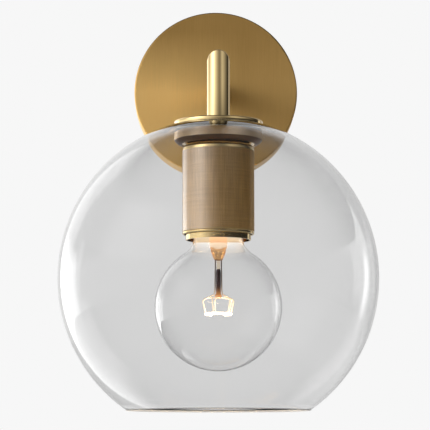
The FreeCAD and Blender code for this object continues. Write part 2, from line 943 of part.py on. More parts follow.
def make_centre_contact():
    """A spring strip, riveted at the side of the recess, that reaches down to the tip."""
    body = new_body("centre_contact")
    back = -(s.line_rivet_place + s.rivet_head_radius)
    step = -(s.line_rivet_place - s.rivet_head_radius - 0.2)
    foot = step + s.contact_drop / 2
    under = s.contact_thickness
    corners = [
        (back, s.recess_roof - under),
        (step, s.recess_roof - under),
        (foot, s.contact_under),
        (s.contact_tail, s.contact_under),
        (s.contact_tail, s.contact_under + under),
        (foot + 0.2, s.contact_under + under),
        (step + 0.2, s.recess_roof),
        (back, s.recess_roof),
    ]
    pad(body, "YZ_Plane", "strip", corners, s.zero, s.contact_width, None, True)
    hole = s.rivet_radius + s.thread_clearance
    drill(body, "XY_Plane", "rivet", [(0, -s.line_rivet_place, hole)], s.recess_roof)
    keep(on_lamp(body), "centre_contact")


def make_terminals():
    """Brass plates on the porcelain that join each rivet to its terminal screw."""
    half = s.terminal_width / 2
    for name, sign, rivet, screw in (
        ("line_terminal", -1, s.line_rivet_place, s.line_screw_place),
        ("neutral_terminal", 1, s.neutral_rivet_place, s.neutral_screw_place),
    ):
        body = new_body(name)
        near = (rivet - s.rivet_head_radius) * sign
        far = (screw + s.terminal_margin) * sign
        ends = (near, far) if sign > 0 else (far, near)
        outline = rectangle(-half, half, *ends)
        pad(body, "XY_Plane", "plate", outline, s.porcelain_top, s.terminal_thickness)
        holes = [
            (0, rivet * sign, s.rivet_radius + s.thread_clearance),
            (0, screw * sign, s.screw_radius + s.thread_clearance),
        ]
        drill(body, "XY_Plane", "holes", holes, s.terminal_top)
        keep(on_lamp(body), name)


def make_rivets():
    bodies = []
    for name, y, under in (
        ("line_rivet", -s.line_rivet_place, s.recess_roof - s.contact_thickness),
        ("neutral_rivet", s.neutral_rivet_place, s.bore_roof - s.screw_shell_wall),
    ):
        head = s.rivet_head_radius
        body = turned(
            name,
            [
                (0, under - s.rivet_head_height),
                (head, under - s.rivet_head_height),
                (head, under),
                (s.rivet_radius, under),
                (s.rivet_radius, s.terminal_top),
                (head, s.terminal_top),
                (head, s.terminal_top + s.rivet_head_height),
                (0, s.terminal_top + s.rivet_head_height),
            ],
        )
        bind(body, "Placement.Base.y", y - s.projection)
        bodies.append(body)
    together("contact_rivets", bodies)


# Wires: each route is straight runs joined by tangent arcs


def rounded_route(points, radii):
    """Lines through the points with a tangent arc of the given radius at each corner."""
    edges = []
    here = points[0]
    for index, corner in enumerate(points[1:-1], 1):
        back = (points[index - 1] - corner).normalize()
        ahead = (points[index + 1] - corner).normalize()
        half_turn = (math.pi - back.getAngle(ahead)) / 2
        radius = radii[index - 1]
        start = corner + back * (radius * math.tan(half_turn))
        end = corner + ahead * (radius * math.tan(half_turn))
        inwards = (back + ahead).normalize()
        middle = corner + inwards * (radius / math.cos(half_turn) - radius)
        edges.append(Part.LineSegment(here, start).toShape())
        edges.append(Part.Arc(start, middle, end).toShape())
        here = end
    edges.append(Part.LineSegment(here, points[-1]).toShape())
    return edges


def swept(points, radii, radius):
    """A round wire along the route, whose volume has to be its section times its length."""
    path = Part.Wire(rounded_route(points, radii))
    circle = Part.Circle(points[0], points[1] - points[0], radius)
    profile = Part.Wire(circle.toShape())
    solid = Part.Solid(path.makePipeShell([profile], True, False))
    expected = math.pi * radius**2 * path.Length
    if abs(solid.Volume / expected - 1) > 0.01:
        raise RuntimeError(f"a wire holds {solid.Volume:.1f} mm3, not {expected:.1f}")
    return solid


def along(points, run, distance):
    return points[run] + (points[run + 1] - points[run]).normalize() * distance


def insulated(points, radii, covered_from, covered_to):
    """A bare wire whose insulation starts and stops at (run, distance along that run)."""
    first, last = covered_from[0], covered_to[0]
    start = along(points, *covered_from)
    stop = along(points, *covered_to)
    core = s.core_radius.number
    bare_start = swept(points[: first + 1] + [start], radii[:first], core)
    inside = [start, *points[first + 1 : last + 1], stop]
    cover = swept(inside, radii[first:last], s.wire_radius.number)
    bare_end = swept([stop, *points[last + 1 :]], radii[last:], core)
    return bare_start.fuse([cover, bare_end])


def loose_piece(label, shape):
    piece = doc.addObject("Part::Feature", label)
    piece.Shape = shape
    return keep(piece, label)


def make_supply_wires():
    """Line and neutral: terminal, nipple, arm, nipple, and a tail folded in the canopy."""
    lying = s.terminal_top + s.core_radius
    turn_height = s.socket_nipple_end - s.wire_drop
    depth = -s.wire_turn_depth
    corners = [s.wire_landing_turn, s.wire_entry_turn, s.wire_arm_turn, s.wire_tail_turn]
    radii = [corner.number for corner in corners]
    for name, side, screw, lift, tail in (
        ("line_wire", s.wire_offset, -s.line_screw_place, -s.line_lift, s.wire_tail),
        ("neutral_wire", -s.wire_offset, s.neutral_screw_place, s.neutral_lift, -s.wire_tail),
    ):
        sign = 1 if lift.number > 0 else -1
        end = screw + s.terminal_margin * sign
        points = [
            vector(side, end - s.projection, lying),
            vector(side, lift - s.projection, lying),
            vector(side, -s.projection, turn_height),
            vector(side, -s.projection, 0),
            vector(side, depth, 0),
            vector(side, depth, tail),
        ]
        tail_cover = (s.wire_tail - s.stripped_length).number
        covered = ((1, s.stripped_past_turn.number), (4, tail_cover))
        loose_piece(name, insulated(points, radii, *covered))


def make_ground_wire():
    """From the lug under the canopy's nut round to the screw on the crossbar."""
    lug = -(s.lug_back - s.core_radius)
    lying = -(s.crossbar_thickness + s.core_radius)
    far = s.ground_screw_across + s.ground_wire_reach
    points = [
        vector(s.lug_reach - s.ground_wire_overlap, lug, 0),
        vector(far, lug, 0),
        vector(far, lying, 0),
        vector(s.ground_screw_across - s.ground_wire_overlap, lying, 0),
    ]
    turn_radius = s.ground_wire_turn
    drop = s.lug_back - s.crossbar_thickness - 2 * s.core_radius
    covered = ((0, s.stripped_length.number), (1, (drop - turn_radius - 1).number))
    radii = [turn_radius.number, turn_radius.number]
    loose_piece("ground_wire", insulated(points, radii, *covered))


# Bulb


def make_bulb_envelope():
    """A blown globe whose neck meets it in a fillet, open at the top where the stem seals it."""
    radius = s.bulb_radius
    fillet = s.bulb_neck_fillet
    neck = s.bulb_neck_radius
    reach = radius + fillet
    out = neck + fillet
    lift = root(reach * reach - out * out)
    share = radius / reach
    wall = s.bulb_wall
    inner_radius = radius - wall
    inner_share = inner_radius / reach
    skirt = s.base_bottom
    inner_out = s.neck_in_base - wall
    body = turned(
        "bulb_envelope",
        [
            (s.neck_in_base, s.neck_top),
            (inner_out, s.neck_top),
            (inner_out, skirt),
            (neck - wall, s.bulb_centre + lift),
            (out * inner_share, s.bulb_centre + lift * inner_share),
            (0, s.bulb_centre - inner_radius),
            (0, s.bulb_centre - radius),
            (out * share, s.bulb_centre + lift * share),
            (neck, s.bulb_centre + lift),
            (s.neck_in_base, skirt),
        ],
        {
            3: (fillet + wall, 1),
            4: (inner_radius, -1),
            6: (radius, 1),
            7: (fillet, -1),
        },
    )
    keep(on_lamp(body), "bulb_envelope")


def make_bulb_base():
    """The threaded shell, its glass insulator and the tip. The thread is closed rings."""
    pitch = s.base_thread_pitch
    crest = s.base_radius
    low = s.base_root
    inside = low - s.base_wall
    first = s.base_top - pitch / 2
    outline = [(inside, s.base_top), (inside, s.base_bottom), (low, s.base_bottom)]
    for number in reversed(range(THREAD_RINGS)):
        top = first - pitch * number
        outline.append((low, top - pitch * 0.8))
        outline.append((crest, top - pitch * 0.5))
        outline.append((low, top - pitch * 0.2))
    outline.append((low, s.base_top))
    keep(on_lamp(turned("bulb_base_shell", outline)), "bulb_base_shell")
    insulator = turned(
        "bulb_insulator",
        [
            (0, s.base_top),
            (low, s.base_top),
            (s.insulator_top_radius, s.tip_seat),
            (0, s.tip_seat),
        ],
    )
    keep(on_lamp(insulator), "bulb_insulator")
    dome = s.tip_height / 2
    tip = turned(
        "bulb_tip_contact",
        [
            (0, s.tip_seat),
            (s.tip_radius, s.tip_seat),
            (s.tip_radius, s.bulb_tip - dome),
            (s.tip_radius - dome, s.bulb_tip),
            (0, s.bulb_tip),
        ],
    )
    keep(on_lamp(tip), "bulb_tip_contact")


def make_bulb_stem():
    """The glass mount: a flare that seals the neck, a tube, a press and the centre rod."""
    flare = s.neck_in_base
    top = s.neck_top
    press = s.stem_bottom
    shoulder = press + s.stem_press
    button = s.rod_bottom
    body = turned(
        "bulb_stem",
        [
            (0, top + 1.0),
            (0, button - s.button_radius),
            (s.button_radius * 0.7, button - s.button_radius),
            (s.button_radius, button - s.button_radius / 2),
            (s.button_radius, button),
            (s.rod_radius, button + 1.0),
            (s.rod_radius, press),
            (s.stem_radius * 0.6, press),
            (s.stem_radius, shoulder),
            (s.stem_radius, s.base_bottom),
            (flare - s.bulb_wall - 0.3, top),
            (flare, top),
            (flare, top + 1.0),
        ],
    )
    keep(on_lamp(body), "bulb_stem")


def make_bulb_wires():
    """Two leads from the press to the filament's ends, and the hooks that hold its ring."""
    axis = -s.projection
    shoulder = s.rod_bottom - s.lead_spread / 2
    out = s.filament_ring_radius
    leads = []
    for sign in (-1, 1):
        points = [
            vector(sign * s.lead_offset, axis, s.stem_bottom),
            vector(sign * s.lead_offset, axis, s.rod_bottom + s.lead_spread),
            vector(out * sign, axis, shoulder),
            vector(out * sign, axis, s.filament_height + s.filament_radius),
        ]
        turns = [s.lead_turn.number, s.lead_turn.number]
        leads.append(swept(points, turns, s.lead_radius.number))
    loose_piece("bulb_lead_wires", Part.Compound(leads))
    hooks = []
    on_filament = s.filament_height + s.filament_radius + s.support_radius / 2
    start = s.button_radius + s.support_radius / 2
    for number in range(SUPPORT_WIRES):
        angle = math.radians(-150 + 300 * (number + 1) / (SUPPORT_WIRES + 1) - 90)
        away = FreeCAD.Vector(math.cos(angle), math.sin(angle), 0)
        root_point = vector(0, axis, s.rod_bottom - s.button_radius / 4) + away * start.number
        knee = vector(0, axis, shoulder) + away * (out.number * 0.8)
        tip = vector(0, axis, on_filament) + away * out.number
        hooks.append(swept([root_point, knee, tip], [s.lead_turn.number], s.support_radius.number))
    loose_piece("bulb_support_wires", Part.Compound(hooks))


def make_filament():
    filament = doc.addObject("Part::Torus", "bulb_filament")
    bind(filament, "Radius1", s.filament_ring_radius)
    bind(filament, "Radius2", s.filament_radius)
    filament.Angle3 = FILAMENT_SWEEP
    turned_to = FreeCAD.Rotation(FreeCAD.Vector(0, 0, 1), 120)
    filament.Placement = FreeCAD.Placement(vector(0, 0, 0), turned_to)
    bind(filament, "Placement.Base.y", -s.projection)
    bind(filament, "Placement.Base.z", s.filament_height)
    keep(filament, "bulb_filament")


def make_everything():
    make_canopy()
    make_crossbar()
    make_set_screws()
    make_ground_screw()
    make_canopy_fixing()
    make_arm()
    make_shade_cap()
    make_gaskets()
    make_glass_shade()
    make_retaining_ring()
    make_socket_shell()
    make_socket_fixing()
    make_bracket()
    make_small_screws()
    make_porcelain()
    make_screw_shell()
    make_centre_contact()
    make_terminals()
    make_rivets()
    make_supply_wires()
    make_ground_wire()
    make_bulb_envelope()
    make_bulb_base()
    make_bulb_stem()
    make_bulb_wires()
    make_filament()


def solids_in(label):
    if label == "bulb_support_wires":
        return SUPPORT_WIRES
    return 2 if label in PAIRS else 1


def check_document():
    """Stops the build if any object failed or any node isn't the solids it should be."""
    doc.recompute()
    for thing in doc.Objects:
        if "Invalid" in thing.State or "Error" in thing.State:
            raise RuntimeError(f"{thing.Label} failed: {thing.State}")
    for node in nodes:
        shape = node.Shape
        if shape.isNull() or not shape.isValid():
            raise RuntimeError(f"{node.Label} has no valid shape")
        expected = solids_in(node.Label)
        if len(shape.Solids) != expected or min(p.Volume for p in shape.Solids) <= 0:
            raise RuntimeError(f"{node.Label} has {len(shape.Solids)} solids, not {expected}")


def write_parts():
    os.makedirs("parts", exist_ok=True)
    for node in nodes:
        node.Shape.exportStep(f"parts/{node.Label}.step")
        print(f"{node.Label}: {node.Shape.Volume:.1f} mm3")


make_everything()
check_document()
write_parts()
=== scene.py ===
"""Globe wall sconce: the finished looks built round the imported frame.

A round brass canopy, a mitred brass arm, a polished cap, a clear glass globe that is open
below, a knurled ring, a finely lined socket cup and a clear bulb with a glowing filament.
All lengths are metres in the frame's own axes: the wall is y = 0, the lamp hangs toward
-y and z is up.
"""

import json
import math

import bmesh
import bpy
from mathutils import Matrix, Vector


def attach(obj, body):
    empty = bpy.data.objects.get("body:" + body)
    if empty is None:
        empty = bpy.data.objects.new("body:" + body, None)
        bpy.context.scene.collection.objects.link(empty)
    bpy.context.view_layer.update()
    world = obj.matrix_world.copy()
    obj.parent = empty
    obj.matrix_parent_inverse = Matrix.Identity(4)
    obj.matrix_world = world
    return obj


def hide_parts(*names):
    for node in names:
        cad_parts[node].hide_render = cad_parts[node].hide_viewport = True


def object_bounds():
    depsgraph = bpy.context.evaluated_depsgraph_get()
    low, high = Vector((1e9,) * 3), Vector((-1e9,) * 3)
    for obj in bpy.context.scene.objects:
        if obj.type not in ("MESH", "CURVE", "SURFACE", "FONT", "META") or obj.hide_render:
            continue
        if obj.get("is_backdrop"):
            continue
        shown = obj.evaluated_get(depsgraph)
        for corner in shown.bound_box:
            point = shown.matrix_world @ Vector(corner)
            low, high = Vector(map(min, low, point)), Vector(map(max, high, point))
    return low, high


bl_info = {
    "name": "Globe wall sconce",
    "version": (1, 0, 0),
    "blender": (4, 5, 0),
    "location": "3D View > Sidebar > Sconce",
    "description": "Builds the finished looks of a globe wall sconce round its frame",
    "category": "Add Mesh",
}

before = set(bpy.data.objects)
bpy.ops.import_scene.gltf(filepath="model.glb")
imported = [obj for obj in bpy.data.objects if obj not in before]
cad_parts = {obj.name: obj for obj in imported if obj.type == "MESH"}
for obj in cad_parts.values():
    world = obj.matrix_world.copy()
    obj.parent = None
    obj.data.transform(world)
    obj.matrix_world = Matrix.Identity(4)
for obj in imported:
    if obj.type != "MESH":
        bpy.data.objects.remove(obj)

MM = 0.001
LAMP_AXIS = Vector((0.0, -0.136, 0.0))


def length(description, default):
    """A length property, given in millimetres and kept in metres."""
    return bpy.props.FloatProperty(
        description=description, default=default * MM, unit="LENGTH", subtype="DISTANCE",
        precision=5,
    )


def count(description, default):
    return bpy.props.IntProperty(description=description, default=default, min=3)


def colour(description, default):
    """A colour property that is given as an sRGB hex code and kept linear."""
    return bpy.props.FloatVectorProperty(
        description=description, default=linear(default), size=4, min=0.0, max=1.0,
        subtype="COLOR",
    )


def linear(code):
    """The linear colour, with alpha 1, of an sRGB hex code such as C8A96A."""
    channels = [int(code[i:i + 2], 16) / 255 for i in (0, 2, 4)]
    return tuple(
        c / 12.92 if c <= 0.04045 else ((c + 0.055) / 1.055) ** 2.4 for c in channels
    ) + (1.0,)


# Sizes and colours


class SconceSizes(bpy.types.PropertyGroup):
    """The sizes of the detailed pieces."""

    canopy_depth: length("From the wall to the canopy's front", 24.0)

    arm_radius: length("Outer radius of the arm", 7.2)
    arm_bore: length("Radius of the arm's bore at its ends", 5.05)
    arm_corner: length("Rounding of the mitre's polished corner", 0.7)

    cap_radius: length("Radius of the cap over the globe", 28.0)
    cap_top: length("Height of the cap's top", -37.6)
    cap_under: length("Height of the cap's underside", -40.3)
    spigot_radius: length("Radius of the spigot under the cap", 23.0)
    spigot_bore: length("Inner radius of the spigot", 18.5)
    spigot_end: length("Height of the spigot's end", -51.7)

    globe_radius: length("Outer radius of the glass globe", 100.0)
    globe_centre: length("Height of the globe's centre", -136.0)
    globe_wall: length("Thickness of the blown glass round the belly", 1.5)
    globe_crown: length("Thickness of the glass at the collar", 2.8)
    globe_blend: length("Outer radius where the crown meets the sphere", 8.0)
    globe_collar: length("Radius of the hole in the crown", 24.0)
    collar_top: length("Height of the crown's flat top", -40.8)
    globe_rim: length("Height of the globe's cut foot", -218.3)
    rim_rounding: length("Rounding of the polished foot", 0.7)

    ring_radius: length("Outer radius over the ring's knurl", 27.7)
    ring_bore: length("Inner radius of the ring", 23.1)
    ring_top: length("Height of the ring's top", -44.2)
    ring_side_end: length("Height where the knurled side ends", -49.5)
    ring_foot: length("Radius of the ring's foot", 24.0)
    ring_bottom: length("Height of the ring's foot", -52.2)
    rib_height: length("How far a knurl's rib stands out", 0.22)

    shell_radius: length("Outer radius of the socket cup", 22.55)
    shell_inside: length("Inner radius of the socket cup", 21.35)
    shell_rounding: length("Rounding of the cup's polished shoulder", 4.2)
    shell_top: length("Height of the cup's top", -51.7)
    shell_shoulder: length("Height where the sloping shoulder ends", -56.4)
    shell_bottom: length("Height of the cup's rim", -109.0)
    nipple_hole: length("Radius of the hole for the nipple", 5.05)

    bulb_radius: length("Radius of the bulb's globe", 39.8)
    bulb_centre: length("Height of the bulb's centre", -154.3)
    bulb_wall: length("Thickness of the bulb's glass", 0.7)
    bulb_neck: length("Radius of the neck's end", 15.0)
    bulb_fillet: length("Radius where the neck meets the bulb", 14.0)
    neck_in_base: length("Radius of the neck inside the base", 11.85)
    neck_top: length("Height of the neck's open end", -95.85)

    base_top: length("Height of the threaded base's top", -86.2)
    base_bottom: length("Height of the threaded base's rim", -105.5)
    base_crest: length("Radius over the lamp thread", 13.05)
    base_root: length("Radius of the lamp thread's root", 12.25)
    base_pitch: length("Pitch of the lamp thread", 3.629)
    base_wall: length("Thickness of the base's sheet", 0.35)

    stem_radius: length("Radius of the mount's glass flare", 5.5)
    stem_shoulder: length("Height where the flare closes in", -117.5)
    stem_press: length("Height of the press that holds the lead wires", -124.5)
    rod_radius: length("Radius of the mount's glass rod", 1.5)
    rod_end: length("Height where the rod swells to its button", -146.7)
    button_radius: length("Radius of the glass button", 2.1)
    lead_radius: length("Radius of the lead wires", 0.4)
    support_radius: length("Radius of the support wires", 0.32)
    support_reach: length("Radius of the supports' outer bends", 9.6)

    filament_ring: length("Radius of the filament's ring", 7.8)
    filament_height: length("Height of the filament's ring", -158.5)
    filament_coil: length("Outer radius of the filament's coil", 0.75)
    filament_wire: length("Radius of the tungsten wire", 0.13)

    ribs: count("Ribs round the knurled ring", 236)
    facets: count("Faces round a turned piece", 192)
    coil_turns: count("Turns of the filament's coil", 96)


class SconceColours(bpy.types.PropertyGroup):
    """The colours of the finishes."""

    # aged_light also carries the painted light on the canopy's lower left; aged_dark is the brass
    # away from it.
    aged_light: colour("The aged brass where it is rubbed", "F0C880")
    aged_dark: colour("The aged brass where it is tarnished", "AC8950")
    polished: colour("The polished brass", "E3C892")
    knurled: colour("The knurled brass", "EABE78")
    linen: colour("The finely textured cup", "F2C680")
    # Painted shade: a darker copy of the brass for the ring's underside.
    liner: colour("The darkened brass under the ring", "7A5A3C")
    zinc: colour("Zinc-plated steel", "C4C7CA")
    nickel: colour("Nickel plate", "CFC7B4")
    contact: colour("Plain yellow brass", "D9B877")
    glass: colour("The globe's faint grey", "ECECEC")
    rim: colour("The ground edge of the globe's foot", "EEEEEE")
    bulb_glass: colour("The bulb's thin clear glass", "FCFCFC")
    # The mount glass's yellowish tint is partly its own colour and partly painted light of the
    # filament.
    stem_glass: colour("The lead glass of the bulb's mount", "F2E2CC")
    porcelain: colour("White glaze", "F0ECE2")
    silicone: colour("Milky soft ring", "E4E4E0")
    vitrite: colour("Black glass of the bulb's base", "16161A")
    black: colour("Insulation of the line wire", "1A1A1A")
    white: colour("Insulation of the neutral wire", "DEDCD6")
    green: colour("Insulation of the ground wire", "1F5A30")
    solder: colour("Dull solder", "A9A9A6")
    aluminium: colour("The base's rolled aluminium", "D6D6D4")
    wire: colour("Drawn nickel wire", "8E8078")
    glow: colour("Light of the hot filament", "FFE2B8")
    tungsten_dark: colour("Tungsten between its crests", "6A6058")
    tungsten_light: colour("Tungsten on its crests", "9A8E80")
    # Painted glows, where no lamp is: the filament's light drawn on the bulb's neck, the mount's
    # glass and rod.
    neck_glow: colour("The filament's light in the bulb's neck", "FFEFD9")
    amber: colour("The filament's light in the mount's glass", "FFB066")
    # The rod's dark colour is painted shade; its lower end gets a painted glow.
    rod: colour("The mount's rod, dark between its bright ends", "4A3A3C")
    backdrop: colour("The plain pale backdrop", "F7F7F7")
    floor: colour("The plain pale floor", "F0F0F0")


# Materials


MATH = "ShaderNodeMath"
RANGE = "ShaderNodeMapRange"


def fill(tree, made, inputs):
    """Set or link a node's inputs. A node that is given as a value stands for its first output."""
    for key, value in inputs.items():
        if isinstance(value, bpy.types.Node):
            value = value.outputs[0]
        if isinstance(value, bpy.types.NodeSocket):
            tree.links.new(value, made.inputs[key])
        else:
            made.inputs[key].default_value = value


def node(tree, kind, inputs=(), **settings):
    """Add one node with its settings and its inputs, either by key or all in their order."""
    made = tree.nodes.new(kind)
    for key, value in settings.items():
        setattr(made, key, value)
    fill(tree, made, inputs if isinstance(inputs, dict) else dict(enumerate(inputs)))
    return made


def new_finish(name):
    """A new material, its tree and its Principled shader."""
    made = bpy.data.materials.new(name)
    made.use_nodes = True
    return made, made.node_tree, made.node_tree.nodes["Principled BSDF"]


def place_axes(tree):
    """The object coordinates as X, Y and Z."""
    place = node(tree, "ShaderNodeTexCoord").outputs["Object"]
    return node(tree, "ShaderNodeSeparateXYZ", (place,)).outputs


def grain(tree, per_metre, detail=3.0, seed=0.0):
    """Noise from object coordinates with its own scale along x, y and z."""
    place = node(tree, "ShaderNodeTexCoord").outputs["Object"]
    scaled = node(tree, "ShaderNodeVectorMath", (place, per_metre), operation="MULTIPLY")
    return node(
        tree, "ShaderNodeTexNoise", {"Vector": scaled, "W": seed, "Scale": 1.0, "Detail": detail},
        noise_dimensions="4D",
    )


def drift(tree, fac, shade, factor):
    """A shade that drifts by a value from a darker one to its own."""
    ends = {0: fac, 6: darker(shade, factor), 7: tuple(shade)}
    return node(tree, "ShaderNodeMix", ends, data_type="RGBA").outputs[2]


def darker(shade, factor):
    return tuple(c * factor for c in shade[:3]) + (1.0,)


def aged_brass(colours):
    """Aged brass, brushed upright: fine streaks, a mottled tarnish, and painted light that makes it
    lighter toward the lower left.
    """
    made, tree, shader = new_finish("aged_brushed_brass")
    streaks = grain(tree, (2600.0, 2600.0, 60.0), 2.0)
    clouds = grain(tree, (30.0, 30.0, 20.0), 4.0, 3.0)
    axes = place_axes(tree)
    # Painted light: this mask makes the canopy lighter toward the lower left, where the light falls
    # on it.
    to_left = node(tree, RANGE, (axes["X"], 0.018, -0.034, 0.3, 1.0))
    below = node(tree, RANGE, (axes["Z"], 0.042, 0.0))
    painted_lighter = node(tree, MATH, (to_left, below), operation="MULTIPLY")
    fine = node(tree, RANGE, (streaks, 0.3, 0.7, -0.08, 0.06))
    mottle = node(tree, RANGE, (clouds, 0.3, 0.7))
    tone = node(tree, MATH, (mottle, 0.12, fine), operation="MULTIPLY_ADD")
    tone = node(tree, MATH, (tone, painted_lighter), operation="ADD")
    ends = {0: tone, 6: tuple(colours.aged_dark), 7: tuple(colours.aged_light)}
    fill(tree, shader, {
        "Metallic": 1.0, "Anisotropic": 0.8,
        "Base Color": node(tree, "ShaderNodeMix", ends, data_type="RGBA").outputs[2],
        "Roughness": node(tree, RANGE, (streaks, 0.25, 0.75, 0.52, 0.62)),
        "Tangent": node(tree, "ShaderNodeCombineXYZ", (1.0, 0.0, 0.0)),
        "Normal": node(tree, "ShaderNodeBump",
                       {"Height": streaks, "Distance": 0.00002, "Strength": 0.4}),
    })
    return made


def polished_brass(colours):
    """Polished lacquered brass: a clear mirror with a faint haze of buffing."""
    made, tree, shader = new_finish("polished_brass")
    haze = grain(tree, (400.0, 400.0, 400.0))
    fill(tree, shader, {
        "Metallic": 1.0, "Base Color": drift(tree, haze, colours.polished, 0.93),
        "Roughness": node(tree, RANGE, (haze, 0.3, 0.7, 0.05, 0.10)),
    })
    return made


# Clear lacquer over textured brass. Its IOR is above a real lacquer's, so that the pale sheen of
# the many fine crests shows, which are too small to draw.
LACQUERED = {"Metallic": 1.0, "Coat Weight": 1.0, "Coat IOR": 2.6, "Coat Roughness": 0.15}


def knurled_brass(colours):
    """Brass between fine ribs: crests worn lighter, a slight tarnish, a pale lacquer sheen."""
    made, tree, shader = new_finish("knurled_brass")
    clouds = grain(tree, (120.0, 120.0, 120.0))
    fill(tree, shader, {
        **LACQUERED, "Base Color": drift(tree, clouds, colours.knurled, 0.85),
        "Roughness": node(tree, RANGE, (clouds, 0.3, 0.7, 0.4, 0.5)),
    })
    return made


def linen_brass(colours):
    """Finely lined brass, like linen: upright lines crossed by fainter level ones, and lacquer
    that is thinned toward the right: painted shade that takes its sheen away on that side."""
    made, tree, shader = new_finish("linen_brass")
    upright = grain(tree, (1500.0, 1500.0, 45.0), 2.0)
    level = grain(tree, (35.0, 35.0, 1700.0), 2.0, 5.0)
    fainter = node(tree, MATH, (level, 0.35), operation="MULTIPLY")
    weave = node(tree, MATH, (upright, 0.65, fainter), operation="MULTIPLY_ADD")
    bump = node(tree, "ShaderNodeBump", {"Height": weave, "Distance": 0.00005, "Strength": 0.5})
    fill(tree, shader, {
        **LACQUERED,
        "Base Color": drift(tree, node(tree, RANGE, (weave, 0.35, 0.65)), colours.linen, 0.78),
        "Roughness": node(tree, RANGE, (weave, 0.3, 0.7, 0.7, 0.58)),
        # Painted shade: the coat's sheen fades from left to right across the cup.
        "Coat Weight": node(tree, RANGE, (place_axes(tree)["X"], -0.01, 0.016, 1.0, 0.1)),
        "Normal": bump, "Coat Normal": bump,
    })
    return made


def plain_metal(name, shade, low, high):
    """A machined or plated metal: even, with a slight change of gloss."""
    made, tree, shader = new_finish(name)
    clouds = grain(tree, (250.0, 250.0, 250.0))
    fill(tree, shader, {
        "Metallic": 1.0, "Base Color": drift(tree, clouds, shade, 0.82),
        "Roughness": node(tree, RANGE, (clouds, 0.3, 0.7, low, high)),
    })
    return made


def soft_finish(name, shade, roughness, **inputs):
    """A ceramic, rubber or plastic: its colour drifts slightly and its gloss with it."""
    made, tree, shader = new_finish(name)
    clouds = grain(tree, (180.0, 180.0, 180.0))
    fill(tree, shader, {
        **inputs, "Base Color": drift(tree, clouds, shade, 0.92),
        "Roughness": node(tree, RANGE, (clouds, 0.3, 0.7, roughness * 0.85, roughness * 1.15)),
    })
    return made


def painted_glow_strength(tree, cold, hot, power, strength):
    """A painted glow of the filament's light: 0 at the height cold, a strength at the height hot,
    rising faster toward hot.
    """
    near = node(tree, RANGE, (place_axes(tree)["Z"], cold, hot))
    near = node(tree, MATH, (near, power), operation="POWER")
    return node(tree, MATH, (near, strength), operation="MULTIPLY")


def clear_glass(name, shade, waves, sheen=0.12, warm=None):
    """Blown glass: clear, faintly wavy, and light passes through it to what lies behind.

    The last argument, when given, is (colour, cold height, hot height, strength): a painted glow of
    the filament's light that grows toward one end of the glass, as drawn on the bulb's neck.
    """
    made, tree, shader = new_finish(name)
    ripple = grain(tree, (14.0, 14.0, 9.0), 1.0)
    fill(tree, shader, {
        "Base Color": tuple(shade), "Roughness": 0.0, "IOR": 1.5, "Transmission Weight": 1.0,
        "Specular Tint": (sheen, sheen, sheen, 1.0),
        "Normal": node(tree, "ShaderNodeBump",
                       {"Height": ripple, "Distance": waves, "Strength": 1.0}),
    })
    if warm:
        glow, cold, hot, strength = warm
        fill(tree, shader, {"Emission Color": tuple(glow),
                            "Emission Strength": painted_glow_strength(tree, cold, hot, 1.5, strength)})
    through = node(tree, "ShaderNodeBsdfTransparent", {"Color": darker(shade, 0.96)})
    shadow = node(tree, "ShaderNodeLightPath").outputs["Is Shadow Ray"]
    mix = node(tree, "ShaderNodeMixShader", (shadow, shader, through))
    fill(tree, tree.nodes["Material Output"], {"Surface": mix})
    return made


def ground_rim(colours):
    """The globe's ground and fire-polished foot: milky, so it stays a soft pale line."""
    made, tree, shader = new_finish("ground_glass_rim")
    clouds = grain(tree, (220.0, 220.0, 220.0))
    fill(tree, shader, {
        "Transmission Weight": 0.15, "IOR": 1.3,
        "Base Color": drift(tree, clouds, colours.rim, 0.9),
        "Roughness": node(tree, RANGE, (clouds, 0.3, 0.7, 0.4, 0.6)),
    })
    return made


def painted_glow_finish(name, shade, glow, cold, hot, strength):
    """Drawn wire or glass near the filament, with a painted glow of the filament's light that grows
    toward it.
    """
    made, tree, shader = new_finish(name)
    clouds = grain(tree, (700.0, 700.0, 700.0), 2.0)
    fill(tree, shader, {
        "Metallic": 0.6, "Roughness": 0.3, "Base Color": drift(tree, clouds, shade, 0.75),
        "Emission Color": tuple(glow), "Emission Strength": painted_glow_strength(tree, cold, hot, 2.0, strength),
    })
    return made


def glowing_tungsten(colours):
    """The hot filament: tungsten that gives its own warm light."""
    made, tree, shader = new_finish("glowing_tungsten")
    clouds = grain(tree, (900.0, 900.0, 900.0), 2.0)
    ends = {0: clouds, 6: tuple(colours.tungsten_dark), 7: tuple(colours.tungsten_light)}
    fill(tree, shader, {
        "Metallic": 1.0, "Roughness": 0.4, "Emission Color": tuple(colours.glow),
        "Emission Strength": 220.0,
        "Base Color": node(tree, "ShaderNodeMix", ends, data_type="RGBA").outputs[2],
    })
    return made


